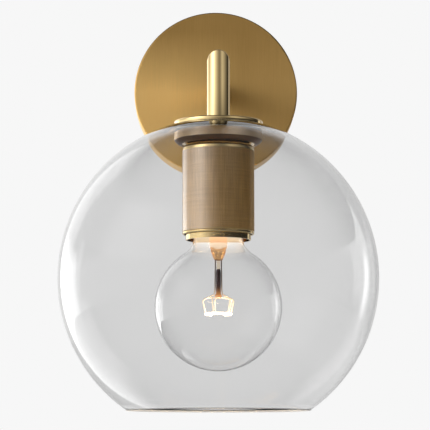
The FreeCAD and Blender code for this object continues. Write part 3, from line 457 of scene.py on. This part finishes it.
def build_finishes():
    """Every finish by its short name, made once."""
    colours = bpy.context.scene.sconce_colours
    return {
        "aged": aged_brass(colours),
        "polished": polished_brass(colours),
        "knurled": knurled_brass(colours),
        "linen": linen_brass(colours),
        # Brass in painted shade, for the underside of the knurled ring.
        "liner": plain_metal("brass_in_painted_shade", colours.liner, 0.28, 0.4),
        "zinc": plain_metal("zinc_plated_steel", colours.zinc, 0.3, 0.45),
        "nickel": plain_metal("nickel_plate", colours.nickel, 0.18, 0.28),
        "contact": plain_metal("contact_brass", colours.contact, 0.25, 0.36),
        "solder": plain_metal("solder", colours.solder, 0.4, 0.55),
        "aluminium": plain_metal("rolled_aluminium", colours.aluminium, 0.22, 0.34),
        # The lead and support wires carry a painted glow near the filament.
        "wire": painted_glow_finish("nickel_wire", colours.wire, colours.glow, -0.1385, -0.152, 1.3),
        "rim": ground_rim(colours),
        "silicone": soft_finish("milky_silicone", colours.silicone, 0.35,
                                **{"Transmission Weight": 0.55}),
        "porcelain": soft_finish("glazed_porcelain", colours.porcelain, 0.12,
                                 **{"Coat Weight": 0.6}),
        "vitrite": soft_finish("black_vitrite", colours.vitrite, 0.1),
        "black": soft_finish("black_insulation", colours.black, 0.45),
        "white": soft_finish("white_insulation", colours.white, 0.45),
        "green": soft_finish("green_insulation", colours.green, 0.45),
        "glass": clear_glass("clear_blown_glass", colours.glass, 0.0004),
        # The bulb's neck and the mount's glass carry a painted glow of the filament's light.
        "bulb_glass": clear_glass("clear_bulb_glass", colours.bulb_glass, 0.0001,
                                  warm=(colours.neck_glow, -0.1225, -0.1115, 0.15)),
        "stem_glass": clear_glass("pressed_stem_glass", colours.stem_glass, 0.0003, 0.6,
                                  warm=(colours.amber, -0.1275, -0.111, 0.2)),
        # The mount's rod: painted dark as shade, with a painted glow at its lower end.
        "rod_glass": painted_glow_finish("rod_glass_painted_shade_and_glow", colours.rod, colours.amber, -0.1405, -0.1475, 0.8),
        "glow": glowing_tungsten(colours),
    }


FINISHES = {}


def finish(name):
    if not FINISHES:
        FINISHES.update(build_finishes())
    return FINISHES[name]


# Meshes


def rounded(corners, steps=6):
    """An outline from corners (r, z) or (r, z, radius), with the corners rounded."""
    outline = []
    for i, corner in enumerate(corners):
        here = Vector(corner[:2])
        radius = corner[2] if len(corner) > 2 else 0.0
        if not radius:
            outline.append(here)
            continue
        back = (Vector(corners[i - 1][:2]) - here).normalized()
        on = (Vector(corners[(i + 1) % len(corners)][:2]) - here).normalized()
        half = back.angle(on) / 2
        centre = here + (back + on).normalized() * (radius / math.sin(half))
        outline.extend(arc(centre, here + back * (radius / math.tan(half)),
                           here + on * (radius / math.tan(half)), steps))
    return outline


def arc(centre, start, end, steps):
    """Points on the shorter arc from start to end about a centre."""
    first, last = start - centre, end - centre
    begin = math.atan2(first.y, first.x)
    swing = math.atan2(last.y, last.x) - begin
    swing = (swing + math.pi) % (2 * math.pi) - math.pi
    size = first.length
    return [
        centre + Vector((math.cos(begin + swing * k / steps), math.sin(begin + swing * k / steps)))
        * size for k in range(steps + 1)
    ]


def link(name, mesh):
    made = bpy.data.objects.new(name, mesh)
    bpy.context.scene.collection.objects.link(made)
    return made


def finish_mesh(name, bm, materials, sharp=28.0):
    """Close a bmesh into an object: faces outward, smooth, with sharp edges kept."""
    bmesh.ops.remove_doubles(bm, verts=bm.verts, dist=1e-7)
    bmesh.ops.recalc_face_normals(bm, faces=bm.faces)
    for face in bm.faces:
        face.smooth = True
    for edge in bm.edges:
        edge.smooth = len(edge.link_faces) == 2 and edge.calc_face_angle(0.0) < math.radians(sharp)
    mesh = bpy.data.meshes.new(name)
    bm.to_mesh(mesh)
    bm.free()
    for material in materials:
        mesh.materials.append(material)
    return link(name, mesh)


def lathe(name, outline, materials, facets=None, choose=None, sharp=28.0):
    """Turn a closed outline of (r, z) points about the lamp's axis.

    choose gives the material's number for the faces that start at an outline point.
    """
    facets = facets or bpy.context.scene.sconce_sizes.facets
    bm = bmesh.new()
    rings = []
    for r, z in outline:
        if r < 1e-9:
            rings.append([bm.verts.new(on_lamp(0.0, 0.0, z))])
            continue
        rings.append([
            bm.verts.new(on_lamp(r * math.cos(2 * math.pi * k / facets),
                                 r * math.sin(2 * math.pi * k / facets), z))
            for k in range(facets)
        ])
    for i, one in enumerate(rings):
        two = rings[(i + 1) % len(rings)]
        if len(one) == 1 and len(two) == 1:
            continue
        for k in range(facets):
            n = (k + 1) % facets
            if len(one) == 1:
                corners = [one[0], two[n], two[k]]
            elif len(two) == 1:
                corners = [one[k], one[n], two[0]]
            else:
                corners = [one[k], one[n], two[n], two[k]]
            face = bm.faces.new(corners)
            if choose:
                face.material_index = choose(i)
    return finish_mesh(name, bm, materials, sharp)


def on_lamp(x, y, z):
    return LAMP_AXIS + Vector((x, y, z))


def bridge(bm, one, two):
    """Faces between two closed rings of vertices."""
    for k in range(len(one)):
        n = (k + 1) % len(one)
        bm.faces.new([one[k], one[n], two[n], two[k]])


def wrap(bm, skins):
    """Faces of an outer and an inner skin, both lists of rings, joined at their two ends."""
    for skin in skins:
        for one, two in zip(skin, skin[1:]):
            bridge(bm, one, two)
    for end in (0, -1):
        bridge(bm, skins[0][end], skins[1][end])


def elbow(name, start, corner, end, outer, inner, rounding, materials, sides=128):
    """A round tube with a wall and one square mitre: forward to the corner, then down."""
    bm = bmesh.new()
    skins = []
    for radius in (outer, inner):
        lines = []
        for k in range(sides):
            a = 2 * math.pi * k / sides
            x, lift = radius * math.cos(a), radius * math.sin(a)
            bend = Vector((corner.y - lift, corner.z + lift))
            over, under = Vector((start.y, bend.y)), Vector((bend.x, end.z))
            turn = bend + Vector((rounding, -rounding))
            path = [over] + arc(turn, bend + Vector((rounding, 0.0)),
                                bend - Vector((0.0, rounding)), steps=6) + [under]
            lines.append([bm.verts.new(Vector((x, p.x, p.y))) for p in path])
        skins.append(list(zip(*lines)))
    wrap(bm, skins)
    return finish_mesh(name, bm, materials)


def from_nodes(name, tree, inputs):
    """Run a geometry tree on an empty mesh and keep what it makes as a plain mesh."""
    carrier = link(name + "_carrier", bpy.data.meshes.new(name + "_carrier"))
    modifier = carrier.modifiers.new("build", "NODES")
    modifier.node_group = tree
    for key, value in inputs.items():
        modifier[tree.interface.items_tree[key].identifier] = value
    bpy.context.view_layer.update()
    graph = bpy.context.evaluated_depsgraph_get()
    mesh = bpy.data.meshes.new_from_object(carrier.evaluated_get(graph), depsgraph=graph)
    mesh.name = name
    bpy.data.objects.remove(carrier)
    return link(name, mesh)


def new_tree(name, sockets):
    """A geometry tree with named inputs {name: kind}, and those inputs as sockets."""
    tree = bpy.data.node_groups.new(name, "GeometryNodeTree")
    tree.interface.new_socket("Geometry", in_out="OUTPUT", socket_type="NodeSocketGeometry")
    for label, kind in sockets.items():
        tree.interface.new_socket(label, in_out="INPUT", socket_type="NodeSocket" + kind)
    return tree, tree.nodes.new("NodeGroupInput").outputs


def close_tree(tree, made, material):
    """Send what a tree makes to its output, as real geometry in its material."""
    real = node(tree, "GeometryNodeRealizeInstances", (made,))
    painted = node(tree, "GeometryNodeSetMaterial", {"Geometry": real, "Material": material})
    node(tree, "NodeGroupOutput", (painted,))


def ride(obj, body, slot, *nodes):
    """Tie a finished piece to its body, and hide the plain nodes that it stands for. slot is not
    used.
    """
    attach(obj, body)
    if nodes:
        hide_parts(*nodes)


# Operators


PLAIN_PIECES = {
    "aged": ("canopy",),
    "polished": ("canopy_set_screws", "socket_liner"),
    "zinc": ("mounting_crossbar", "ground_screw", "canopy_nipple", "canopy_lock_washer",
             "canopy_locknut", "socket_nipple", "socket_lock_washer", "socket_locknut",
             "socket_bracket", "bracket_screws"),
    "contact": ("ground_lug", "terminal_screws", "centre_contact", "line_terminal"),
    "nickel": ("screw_shell", "neutral_terminal", "contact_rivets"),
    "silicone": ("upper_gasket", "lower_gasket"),
    "porcelain": ("porcelain_socket",),
    "black": ("line_wire",),
    "white": ("neutral_wire",),
    "green": ("ground_wire",),
    "vitrite": ("bulb_insulator",),
    "solder": ("bulb_tip_contact",),
}


class SCONCE_OT_plain_pieces(bpy.types.Operator):
    """Give the pieces that keep their plain shape their finishes"""

    bl_idname = "sconce.plain_pieces"
    bl_label = "Finish the plain pieces"

    def execute(self, context):
        for name, nodes in PLAIN_PIECES.items():
            for label in nodes:
                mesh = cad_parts[label].data
                if not mesh.materials:
                    mesh.materials.append(finish(name))
                for i in range(len(mesh.materials)):
                    mesh.materials[i] = finish(name)
        return {"FINISHED"}


class SCONCE_OT_arm(bpy.types.Operator):
    """Build the mitred arm"""

    bl_idname = "sconce.arm"
    bl_label = "Arm"

    def execute(self, context):
        s = context.scene.sconce_sizes
        arm = elbow(
            "arm_mitred_tube", Vector((0.0, -s.canopy_depth, 0.0)), LAMP_AXIS,
            LAMP_AXIS + Vector((0.0, 0.0, s.cap_top)), s.arm_radius, s.arm_bore,
            s.arm_corner, [finish("polished")],
        )
        ride(arm, "fixture", "polished_brass", "arm_tube")
        return {"FINISHED"}


class SCONCE_OT_cap(bpy.types.Operator):
    """Build the polished cap with its spigot"""

    bl_idname = "sconce.cap"
    bl_label = "Cap"

    def execute(self, context):
        s = context.scene.sconce_sizes
        outline = rounded([
            (s.nipple_hole, s.cap_under), (s.spigot_bore, s.cap_under),
            (s.spigot_bore, s.spigot_end, 0.2 * MM), (s.spigot_radius, s.spigot_end, 0.3 * MM),
            (s.spigot_radius, s.cap_under), (s.cap_radius, s.cap_under, 0.25 * MM),
            (s.cap_radius, s.cap_top, 0.9 * MM), (s.nipple_hole, s.cap_top),
        ])
        cap = lathe("cap_polished", outline, [finish("polished")])
        ride(cap, "fixture", "polished_brass", "shade_cap")
        return {"FINISHED"}


class SCONCE_OT_globe(bpy.types.Operator):
    """Build the blown glass globe with its wall"""

    bl_idname = "sconce.globe"
    bl_label = "Glass globe"

    def execute(self, context):
        s = context.scene.sconce_sizes
        rise = s.collar_top - s.globe_centre - s.globe_blend
        reach = s.globe_radius - s.globe_blend
        out = math.sqrt(reach * reach - rise * rise)
        middle = Vector((0.0, s.globe_centre))
        blend_middle = Vector((out, s.globe_centre + rise))
        rim = s.globe_rim - s.globe_centre

        meet = middle + (blend_middle - middle).normalized() * s.globe_radius
        foot = Vector((math.sqrt(s.globe_radius ** 2 - rim * rim), s.globe_rim))
        crown_steps, belly_steps, rim_steps = 14, 90, 8
        crown = arc(blend_middle, blend_middle + Vector((0.0, s.globe_blend)), meet, crown_steps)
        belly_side = arc(middle, meet, foot, belly_steps)[1:]
        collar = Vector((s.globe_collar, s.collar_top))
        outer = [collar] + crown + belly_side
        inner = [collar - Vector((0.0, s.globe_crown))]
        inner += [p - (p - blend_middle).normalized() * s.globe_crown for p in crown]
        thinned = 0.05
        for i, p in enumerate(belly_side):
            crown_share = max(0.0, 1.0 - (i + 1) / belly_steps / thinned) ** 2
            wall = s.globe_wall + (s.globe_crown - s.globe_wall) * crown_share
            inner.append(p - (p - middle).normalized() * wall)
        foot_out, foot_in = outer[-1], inner[-1]
        foot_in.y = s.globe_rim
        lead_out = (outer[-2] - foot_out).normalized()
        lead_in = (inner[-2] - foot_in).normalized()
        across = (foot_in - foot_out).normalized()

        def rounding(corner, lead, other):
            half = lead.angle(other) / 2
            back = s.rim_rounding / math.tan(half)
            centre = corner + (lead + other).normalized() * (s.rim_rounding / math.sin(half))
            return arc(centre, corner + lead * back, corner + other * back, rim_steps)

        outline = outer[:-1] + rounding(foot_out, lead_out, across)
        outline += list(reversed(rounding(foot_in, lead_in, -across))) + list(reversed(inner[:-1]))
        first = len(outer) - 1
        rim_faces = range(first, first + 2 * rim_steps + 1)
        globe = lathe("globe_blown_glass", outline, [finish("glass"), finish("rim")], facets=256,
                      sharp=50.0, choose=lambda i: int(i in rim_faces))
        ride(globe, "shade", "clear_glass", "glass_shade")
        return {"FINISHED"}


class SCONCE_OT_ring(bpy.types.Operator):
    """Build the knurled retaining ring"""

    bl_idname = "sconce.ring"
    bl_label = "Knurled ring"

    def execute(self, context):
        s = context.scene.sconce_sizes
        tree, given = new_tree("knurled_ring_ribs", {
            "Ribs": "Int", "Radius": "Float", "Height": "Float", "Rib": "Float",
            "Middle": "Vector", "Material": "Material",
        })
        circle = node(tree, "GeometryNodeMeshCircle",
                      {"Vertices": given["Ribs"], "Radius": given["Radius"]})
        bar = node(tree, "GeometryNodeMeshCylinder",
                   {"Vertices": 4, "Side Segments": 1, "Fill Segments": 1,
                    "Radius": given["Rib"], "Depth": given["Height"]})
        place = node(tree, "GeometryNodeInputPosition")
        turn = node(tree, "FunctionNodeAlignEulerToVector", {"Vector": place}, axis="X")
        ribs = node(tree, "GeometryNodeInstanceOnPoints",
                    {"Points": circle, "Instance": bar, "Rotation": turn})
        moved = node(tree, "GeometryNodeTransform",
                     {"Geometry": ribs, "Translation": given["Middle"]})
        close_tree(tree, moved, given["Material"])
        top, end = s.ring_top - 0.35 * MM, s.ring_side_end + 0.1 * MM
        rib_radius = s.rib_height * 1.5
        ribs = from_nodes("ring_ribs", tree, {
            "Ribs": s.ribs, "Radius": s.ring_radius - rib_radius, "Height": top - end,
            "Rib": rib_radius, "Middle": on_lamp(0.0, 0.0, (top + end) / 2),
            "Material": finish("knurled"),
        })
        side = s.ring_radius - s.rib_height
        bulge, chamfer, taper_steps = 6.0 * MM, 0.3 * MM, 10
        foot = Vector((s.ring_foot, s.ring_bottom))
        outline = [Vector((s.ring_bore, s.ring_bottom)), foot]
        outline += belly(foot, Vector((side, s.ring_side_end)), bulge, taper_steps)[1:]
        outline += [Vector((side, s.ring_top - chamfer)),
                    Vector((side - chamfer, s.ring_top)), Vector((s.ring_bore, s.ring_top))]
        # The ring's tapered foot takes the darker copy of its brass: painted shade under the ring.
        body = lathe("ring_body", outline, [finish("knurled"), finish("liner")],
                     choose=lambda i: int(i <= taper_steps))
        ring = joined("ring_knurled", [body, ribs])
        ride(ring, "ring", "knurled_brass", "retaining_ring")
        return {"FINISHED"}


class SCONCE_OT_socket_cup(bpy.types.Operator):
    """Build the socket cup: linen side, polished shoulder and bead"""

    bl_idname = "sconce.socket_cup"
    bl_label = "Socket cup"

    def execute(self, context):
        s = context.scene.sconce_sizes
        side = s.shell_radius
        bead = s.shell_bottom + 1.5 * MM
        roof = s.shell_top - 1.2 * MM
        outline = rounded([
            (s.nipple_hole, roof), (s.shell_inside - 3.4 * MM, roof),
            (s.shell_inside, s.shell_shoulder - 0.6 * MM, 1.0 * MM),
            (s.shell_inside, s.shell_bottom, 0.2 * MM),
            (side, s.shell_bottom, 0.65 * MM), (side, bead, 0.5 * MM),
            (side - 0.25 * MM, bead + 0.1 * MM), (side, bead + 0.4 * MM),
            (side, s.shell_shoulder), (side, s.shell_top, s.shell_rounding),
            (s.nipple_hole, s.shell_top),
        ])
        low, high = bead + 0.3 * MM, s.shell_shoulder

        def choose(i):
            here, on = outline[i], outline[(i + 1) % len(outline)]
            middle = (here[1] + on[1]) / 2
            return int(min(here[0], on[0]) > s.shell_inside + 0.5 * MM and low < middle < high)

        cup = lathe("socket_cup", outline, [finish("polished"), finish("linen")], choose=choose)
        ride(cup, "fixture", "knurled_brass", "socket_shell")
        return {"FINISHED"}


class SCONCE_OT_bulb(bpy.types.Operator):
    """Build the bulb's glass and its threaded base"""

    bl_idname = "sconce.bulb"
    bl_label = "Bulb"

    def execute(self, context):
        s = context.scene.sconce_sizes
        reach = s.bulb_radius + s.bulb_fillet
        out = s.bulb_neck + s.bulb_fillet
        lift = math.sqrt(reach * reach - out * out)
        middle = Vector((0.0, s.bulb_centre))
        corner = Vector((out, s.bulb_centre + lift))

        def skin(thickness):
            radius = s.bulb_radius - thickness
            meet = middle + (corner - middle).normalized() * radius
            neck = Vector((s.bulb_neck - thickness, corner.y))
            top = Vector((s.neck_in_base - thickness, s.neck_top))
            skirt = Vector((s.neck_in_base - thickness, s.base_bottom))
            return ([top, skirt] + arc(corner, neck, meet, steps=20)
                    + globe_arc(middle, meet, steps=60))

        outline = skin(0.0) + list(reversed(skin(s.bulb_wall)))
        bulb = lathe("bulb_clear_glass", outline, [finish("bulb_glass")], sharp=40.0)
        ride(bulb, "bulb", "bulb_glass", "bulb_envelope")
        ride(threaded_base(s), "bulb", "base_aluminium", "bulb_base_shell")
        return {"FINISHED"}


class SCONCE_OT_mount(bpy.types.Operator):
    """Build the bulb's glass mount with its lead and support wires"""

    bl_idname = "sconce.mount"
    bl_label = "Bulb mount"

    def execute(self, context):
        s = context.scene.sconce_sizes
        waist = s.rod_radius * 0.8
        outline = rounded([
            (0.0, s.base_bottom), (s.stem_radius, s.base_bottom),
            (s.stem_radius, s.stem_shoulder, 4.0 * MM),
            (s.rod_radius * 1.9, s.stem_press, 0.8 * MM),
            (waist, s.stem_press - 0.6 * MM), (waist, s.stem_press - 6.0 * MM),
            (s.rod_radius, s.stem_press - 8.0 * MM), (s.rod_radius, s.rod_end + 1.0 * MM),
            (s.button_radius, s.rod_end, 0.6 * MM),
            (s.button_radius, s.rod_end - s.button_radius, 1.0 * MM),
            (0.0, s.rod_end - s.button_radius),
        ])
        dark = s.stem_press - 5.0 * MM

        def choose(i):
            on = outline[(i + 1) % len(outline)]
            return int(max(outline[i][1], on[1]) < dark)

        mount = lathe("bulb_mount", outline, [finish("stem_glass"), finish("rod_glass")],
                      facets=64, choose=choose)
        ride(mount, "bulb", "stem_glass", "bulb_stem")
        bend = s.rod_end - 0.6 * MM
        top = s.stem_press + 0.6 * MM
        leads, supports = bmesh.new(), bmesh.new()
        for sign in (-1.0, 1.0):
            run = [(1.9, top), (1.9, s.stem_press - 5.0 * MM), (2.0, s.stem_press - 8.0 * MM),
                   (2.1, bend + 4.0 * MM), (2.6, bend + 1.0 * MM)]
            path = [on_lamp(sign * r * MM, 0.0, z) for r, z in run]
            path += [on_lamp(sign * s.support_reach * 0.93, 0.0, bend - 2.2 * MM),
                     on_lamp(sign * s.support_reach, 0.0, bend - 3.4 * MM),
                     on_lamp(sign * s.filament_ring, 0.0, s.filament_height)]
            wire(leads, path, s.lead_radius)
        for k in range(5):
            a = math.radians(30.0 + 72.0 * k)
            run = [(s.button_radius * 0.6, bend - 0.6 * MM),
                   (s.support_reach * 0.9, bend - 1.6 * MM),
                   (s.support_reach, bend - 2.6 * MM), (s.filament_ring, s.filament_height)]
            wire(supports, [on_lamp(r * math.cos(a), r * math.sin(a), z) for r, z in run],
                 s.support_radius)
        for name, bm, label in (("bulb_leads", leads, "bulb_lead_wires"),
                                ("bulb_supports", supports, "bulb_support_wires")):
            ride(finish_mesh(name, bm, [finish("wire")], 60.0), "bulb", "nickel_wire", label)
        return {"FINISHED"}


def wire(bm, path, radius, sides=10):
    """Add a round wire along a path, turned as little as possible, with closed ends."""
    rings = []
    side = None
    for i, point in enumerate(path):
        before, after = path[max(i - 1, 0)], path[min(i + 1, len(path) - 1)]
        along = (after - before).normalized()
        side = along.orthogonal() if side is None else side
        side = (side - along * side.dot(along)).normalized()
        over = along.cross(side)
        rings.append([
            bm.verts.new(point + (side * math.cos(2 * math.pi * k / sides)
                                  + over * math.sin(2 * math.pi * k / sides)) * radius)
            for k in range(sides)
        ])
    for one, two in zip(rings, rings[1:]):
        bridge(bm, one, two)
    bm.faces.new(rings[0])
    bm.faces.new(rings[-1])


class SCONCE_OT_filament(bpy.types.Operator):
    """Wind the filament: a coil bent into an open ring"""

    bl_idname = "sconce.filament"
    bl_label = "Filament"

    def execute(self, context):
        s = context.scene.sconce_sizes
        tree, given = new_tree("filament_coil", {
            "Turns": "Int", "Ring": "Float", "Coil": "Float", "Wire": "Float",
            "Sweep": "Float", "Start": "Float", "Middle": "Vector", "Material": "Material",
        })
        points_per_turn = 10.0
        points = node(tree, MATH, (given["Turns"], points_per_turn), operation="MULTIPLY")
        line = node(tree, "GeometryNodeCurvePrimitiveLine")
        fine = node(tree, "GeometryNodeResampleCurve", {"Curve": line, "Count": points})
        along = node(tree, "GeometryNodeSplineParameter").outputs["Factor"]
        angle = node(tree, MATH, (along, given["Sweep"], given["Start"]),
                     operation="MULTIPLY_ADD")
        turned = node(tree, MATH, (along, given["Turns"]), operation="MULTIPLY")
        twist = node(tree, MATH, (turned, 2 * math.pi), operation="MULTIPLY")
        cosines = [node(tree, MATH, (value,), operation="COSINE") for value in (twist, angle)]
        sines = [node(tree, MATH, (value,), operation="SINE") for value in (twist, angle)]
        reach = node(tree, MATH, (cosines[0], given["Coil"], given["Ring"]),
                     operation="MULTIPLY_ADD")
        x = node(tree, MATH, (reach, cosines[1]), operation="MULTIPLY")
        y = node(tree, MATH, (reach, sines[1]), operation="MULTIPLY")
        z = node(tree, MATH, (sines[0], given["Coil"]), operation="MULTIPLY")
        place = node(tree, "ShaderNodeCombineXYZ", (x, y, z))
        place = node(tree, "ShaderNodeVectorMath", (place, given["Middle"]), operation="ADD")
        coil = node(tree, "GeometryNodeSetPosition", {"Geometry": fine, "Position": place})
        section = node(tree, "GeometryNodeCurvePrimitiveCircle",
                       {"Resolution": 6, "Radius": given["Wire"]})
        swept = node(tree, "GeometryNodeCurveToMesh",
                     {"Curve": coil, "Profile Curve": section, "Fill Caps": True})
        close_tree(tree, swept, given["Material"])
        coil = from_nodes("filament_coil", tree, {
            "Turns": s.coil_turns, "Ring": s.filament_ring,
            "Coil": s.filament_coil - s.filament_wire, "Wire": s.filament_wire,
            "Sweep": math.radians(300.0), "Start": math.radians(120.0),
            "Middle": on_lamp(0.0, 0.0, s.filament_height), "Material": finish("glow"),
        })
        for face in coil.data.polygons:
            face.use_smooth = True
        ride(coil, "bulb", "tungsten", "bulb_filament")
        return {"FINISHED"}


def globe_arc(middle, meet, steps):
    """Points from where the neck meets the bulb down to its lowest point, after the first."""
    radius = (meet - middle).length
    lowest, side = middle - Vector((0.0, radius)), middle + Vector((radius, 0.0))
    return arc(middle, meet, side, steps // 2)[1:] + arc(middle, side, lowest, steps // 2)[1:-1] + [
        Vector((0.0, lowest.y))
    ]


def belly(start, end, radius, steps):
    """An arc that bulges outward from start to end."""
    middle = (start + end) / 2
    chord = end - start
    normal = Vector((chord.y, -chord.x)).normalized()
    depth = math.sqrt(max(radius * radius - (chord.length / 2) ** 2, 0.0))
    return arc(middle - normal * depth, start, end, steps)


def threaded_base(s):
    """The bulb's rolled base: a helical thread that fades out at both ends."""
    turns = (s.base_top - s.base_bottom) / s.base_pitch
    around, up = 96, 132
    bm = bmesh.new()
    grid = []
    for j in range(up + 1):
        z = s.base_bottom + (s.base_top - s.base_bottom) * j / up
        ends = min(j / up, 1 - j / up) * turns
        fade = max(0.0, min(1.0, (ends - 0.15) / 0.35))
        row = []
        for k in range(around):
            wave = math.cos(2 * math.pi * ((z - s.base_bottom) / s.base_pitch - k / around))
            r = s.base_root + (s.base_crest - s.base_root) * fade * (0.5 - 0.5 * wave) ** 1.2
            a = 2 * math.pi * k / around
            row.append((r, a, z))
        grid.append(row)
    skins = []
    for inset in (0.0, s.base_wall):
        skins.append([
            [bm.verts.new(on_lamp((r - inset) * math.cos(a), (r - inset) * math.sin(a), z))
             for r, a, z in row] for row in grid
        ])
    wrap(bm, skins)
    return finish_mesh("bulb_base_thread", bm, [finish("aluminium")])


def joined(name, pieces):
    """One mesh from several, with their materials."""
    bm = bmesh.new()
    materials = []
    for piece in pieces:
        offset = len(bm.faces)
        bm.from_mesh(piece.data)
        bm.faces.ensure_lookup_table()
        slots = []
        for material in piece.data.materials:
            if material not in materials:
                materials.append(material)
            slots.append(materials.index(material))
        for face in bm.faces[offset:]:
            face.material_index = slots[face.material_index]
    mesh = bpy.data.meshes.new(name)
    bm.to_mesh(mesh)
    bm.free()
    for material in materials:
        mesh.materials.append(material)
    for piece in pieces:
        bpy.data.objects.remove(piece)
    return link(name, mesh)


# Studio


# Azimuth in degrees from the camera's side, right positive, and the light's strength there:
# level with the lamp, above it and below it.
STUDIO_LEVEL = (
    (-180, 0.9), (-156, 0.9), (-153, 3.2), (-124, 3.2), (-121, 1.5), (-60, 1.7), (-46, 1.2),
    (-30, 0.8), (-16, 0.45), (-4, 0.25), (10, 0.14), (30, 0.08), (60, 0.06), (84, 0.04),
    (124, 0.04), (128, 1.7), (131, 1.7), (134, 0.45), (150, 0.55), (172, 0.9), (180, 0.9),
)
STUDIO_HIGH = (
    (-180, 0.9), (-157, 0.9), (-154, 1.6), (-134, 1.6), (-128, 1.0), (-98, 0.8), (-72, 2.8),
    (-58, 3.2), (-47, 2.4), (-36, 1.4), (-26, 1.0), (-16, 0.75), (-6, 0.5), (4, 0.34),
    (14, 0.28), (24, 0.38), (34, 0.66), (45, 0.74), (67, 0.46), (79, 0.3), (93, 0.16),
    (108, 0.05), (118, 0.05), (130, 0.35), (150, 0.6), (180, 0.9),
)
STUDIO_LOW = (
    (-180, 0.9), (-155, 0.9), (-152, 3.0), (-112, 3.0), (-106, 1.4), (-60, 1.2), (-30, 0.8),
    (0, 0.4), (60, 0.3), (120, 0.5), (135, 1.2), (180, 0.9),
)


class SCONCE_OT_stage(bpy.types.Operator):
    """Set up the camera, the pale floor and the soft studio light"""

    bl_idname = "sconce.stage"
    bl_label = "Stage"

    def execute(self, context):
        scene = context.scene
        eye = bpy.data.cameras.new("camera")
        eye.lens = 178.9
        eye.sensor_width = 36.0
        eye.clip_start = 0.05
        eye.clip_end = 50.0
        camera = bpy.data.objects.new("camera", eye)
        camera.location = (-0.020, -1.463, -0.2442)
        camera.rotation_euler = (math.pi / 2 + math.radians(6.35), 0.0, -0.0135)
        scene.collection.objects.link(camera)
        scene.camera = camera
        half, height = 3.0, -0.75
        mesh = bpy.data.meshes.new("floor")
        corners = [(-half, -half, height), (half, -half, height), (half, half, height),
                   (-half, half, height)]
        mesh.from_pydata(corners, [], [(0, 1, 2, 3)])
        mesh.materials.append(soft_finish("pale_floor", scene.sconce_colours.floor, 0.7))
        floor = link("floor", mesh)
        floor.visible_glossy = False
        floor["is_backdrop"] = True
        self.light(scene)
        scene.view_settings.view_transform = "Standard"
        return {"FINISHED"}

    def light(self, scene):
        """The world: a plain pale backdrop to the eye, a soft studio in every reflection.

        Each step changes the light between two heights, in degrees above the lamp's level.
        """
        world = bpy.data.worlds.new("studio")
        scene.world = world
        world.use_nodes = True
        world.cycles.sampling_method = "NONE"
        tree = world.node_tree
        way = node(tree, "ShaderNodeTexCoord").outputs["Generated"]
        axes = node(tree, "ShaderNodeSeparateXYZ", (way,)).outputs
        back = node(tree, MATH, (axes["Y"], -1.0), operation="MULTIPLY")
        azimuth = node(tree, MATH, (axes["X"], back), operation="ARCTAN2")
        turn = node(tree, MATH, (azimuth, 0.5 / math.pi, 0.5), operation="MULTIPLY_ADD")
        height = node(tree, MATH, (axes["Z"],), operation="ARCSINE")
        light, high, low = (
            self.around(tree, turn, table) for table in (STUDIO_LEVEL, STUDIO_HIGH, STUDIO_LOW)
        )
        ceiling, ground = 0.1, 0.7
        for end, first, full in ((high, 6.5, 13.0), (ceiling, 38.0, 48.0), (low, -4.0, -16.0),
                                 (ground, -35.0, -50.0)):
            step = node(tree, RANGE, (height, math.radians(first), math.radians(full)))
            change = node(tree, MATH, (end, light), operation="SUBTRACT")
            light = node(tree, MATH, (change, step, light), operation="MULTIPLY_ADD")
        depth = node(tree, "ShaderNodeLightPath").outputs["Glossy Depth"]
        mirrored = node(tree, MATH, (depth, 1.0), operation="MINIMUM")
        ends = {0: mirrored, 6: tuple(scene.sconce_colours.backdrop), 7: light}
        shade = node(tree, "ShaderNodeMix", ends, data_type="RGBA").outputs[2]
        fill(tree, tree.nodes["Background"], {"Color": shade, "Strength": 1.0})

    def around(self, tree, turn, table):
        """The light's strength all round the lamp, from one table."""
        ramp = node(tree, "ShaderNodeValToRGB", (turn,))
        peak = max(strength for _, strength in table)
        stops = ramp.color_ramp.elements
        while len(stops) < len(table):
            stops.new(0.5)
        for stop, (angle, strength) in zip(stops, table):
            stop.position = (angle + 180) / 360
            stop.color = (strength / peak,) * 3 + (1.0,)
        return node(tree, MATH, (ramp, peak), operation="MULTIPLY")


class SCONCE_PT_panel(bpy.types.Panel):
    """The sconce's steps in the sidebar"""

    bl_idname = "SCONCE_PT_panel"
    bl_label = "Globe wall sconce"
    bl_space_type = "VIEW_3D"
    bl_region_type = "UI"
    bl_category = "Sconce"

    def draw(self, context):
        for operator in STEPS:
            self.layout.operator(operator.bl_idname)
        for group in ("sconce_sizes", "sconce_colours"):
            box = self.layout.box()
            held = getattr(context.scene, group)
            for key in held.__annotations__:
                box.prop(held, key, text=key.replace("_", " ").capitalize())


STEPS = (
    SCONCE_OT_plain_pieces,
    SCONCE_OT_arm,
    SCONCE_OT_cap,
    SCONCE_OT_globe,
    SCONCE_OT_ring,
    SCONCE_OT_socket_cup,
    SCONCE_OT_bulb,
    SCONCE_OT_mount,
    SCONCE_OT_filament,
    SCONCE_OT_stage,
)
CLASSES = (SconceSizes, SconceColours) + STEPS + (SCONCE_PT_panel,)


def register():
    for item in CLASSES:
        bpy.utils.register_class(item)
    bpy.types.Scene.sconce_sizes = bpy.props.PointerProperty(type=SconceSizes)
    bpy.types.Scene.sconce_colours = bpy.props.PointerProperty(type=SconceColours)


def unregister():
    del bpy.types.Scene.sconce_colours
    del bpy.types.Scene.sconce_sizes
    for item in reversed(CLASSES):
        bpy.utils.unregister_class(item)


def plain(bounds):
    return json.loads(json.dumps(bounds, default=list))


def main():
    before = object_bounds()
    register()
    for step in STEPS:
        group, name = step.bl_idname.split(".")
        getattr(getattr(bpy.ops, group), name)()
    {"frame": plain(before), "finished": plain(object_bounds())}


if __name__ == "__main__":
    main()
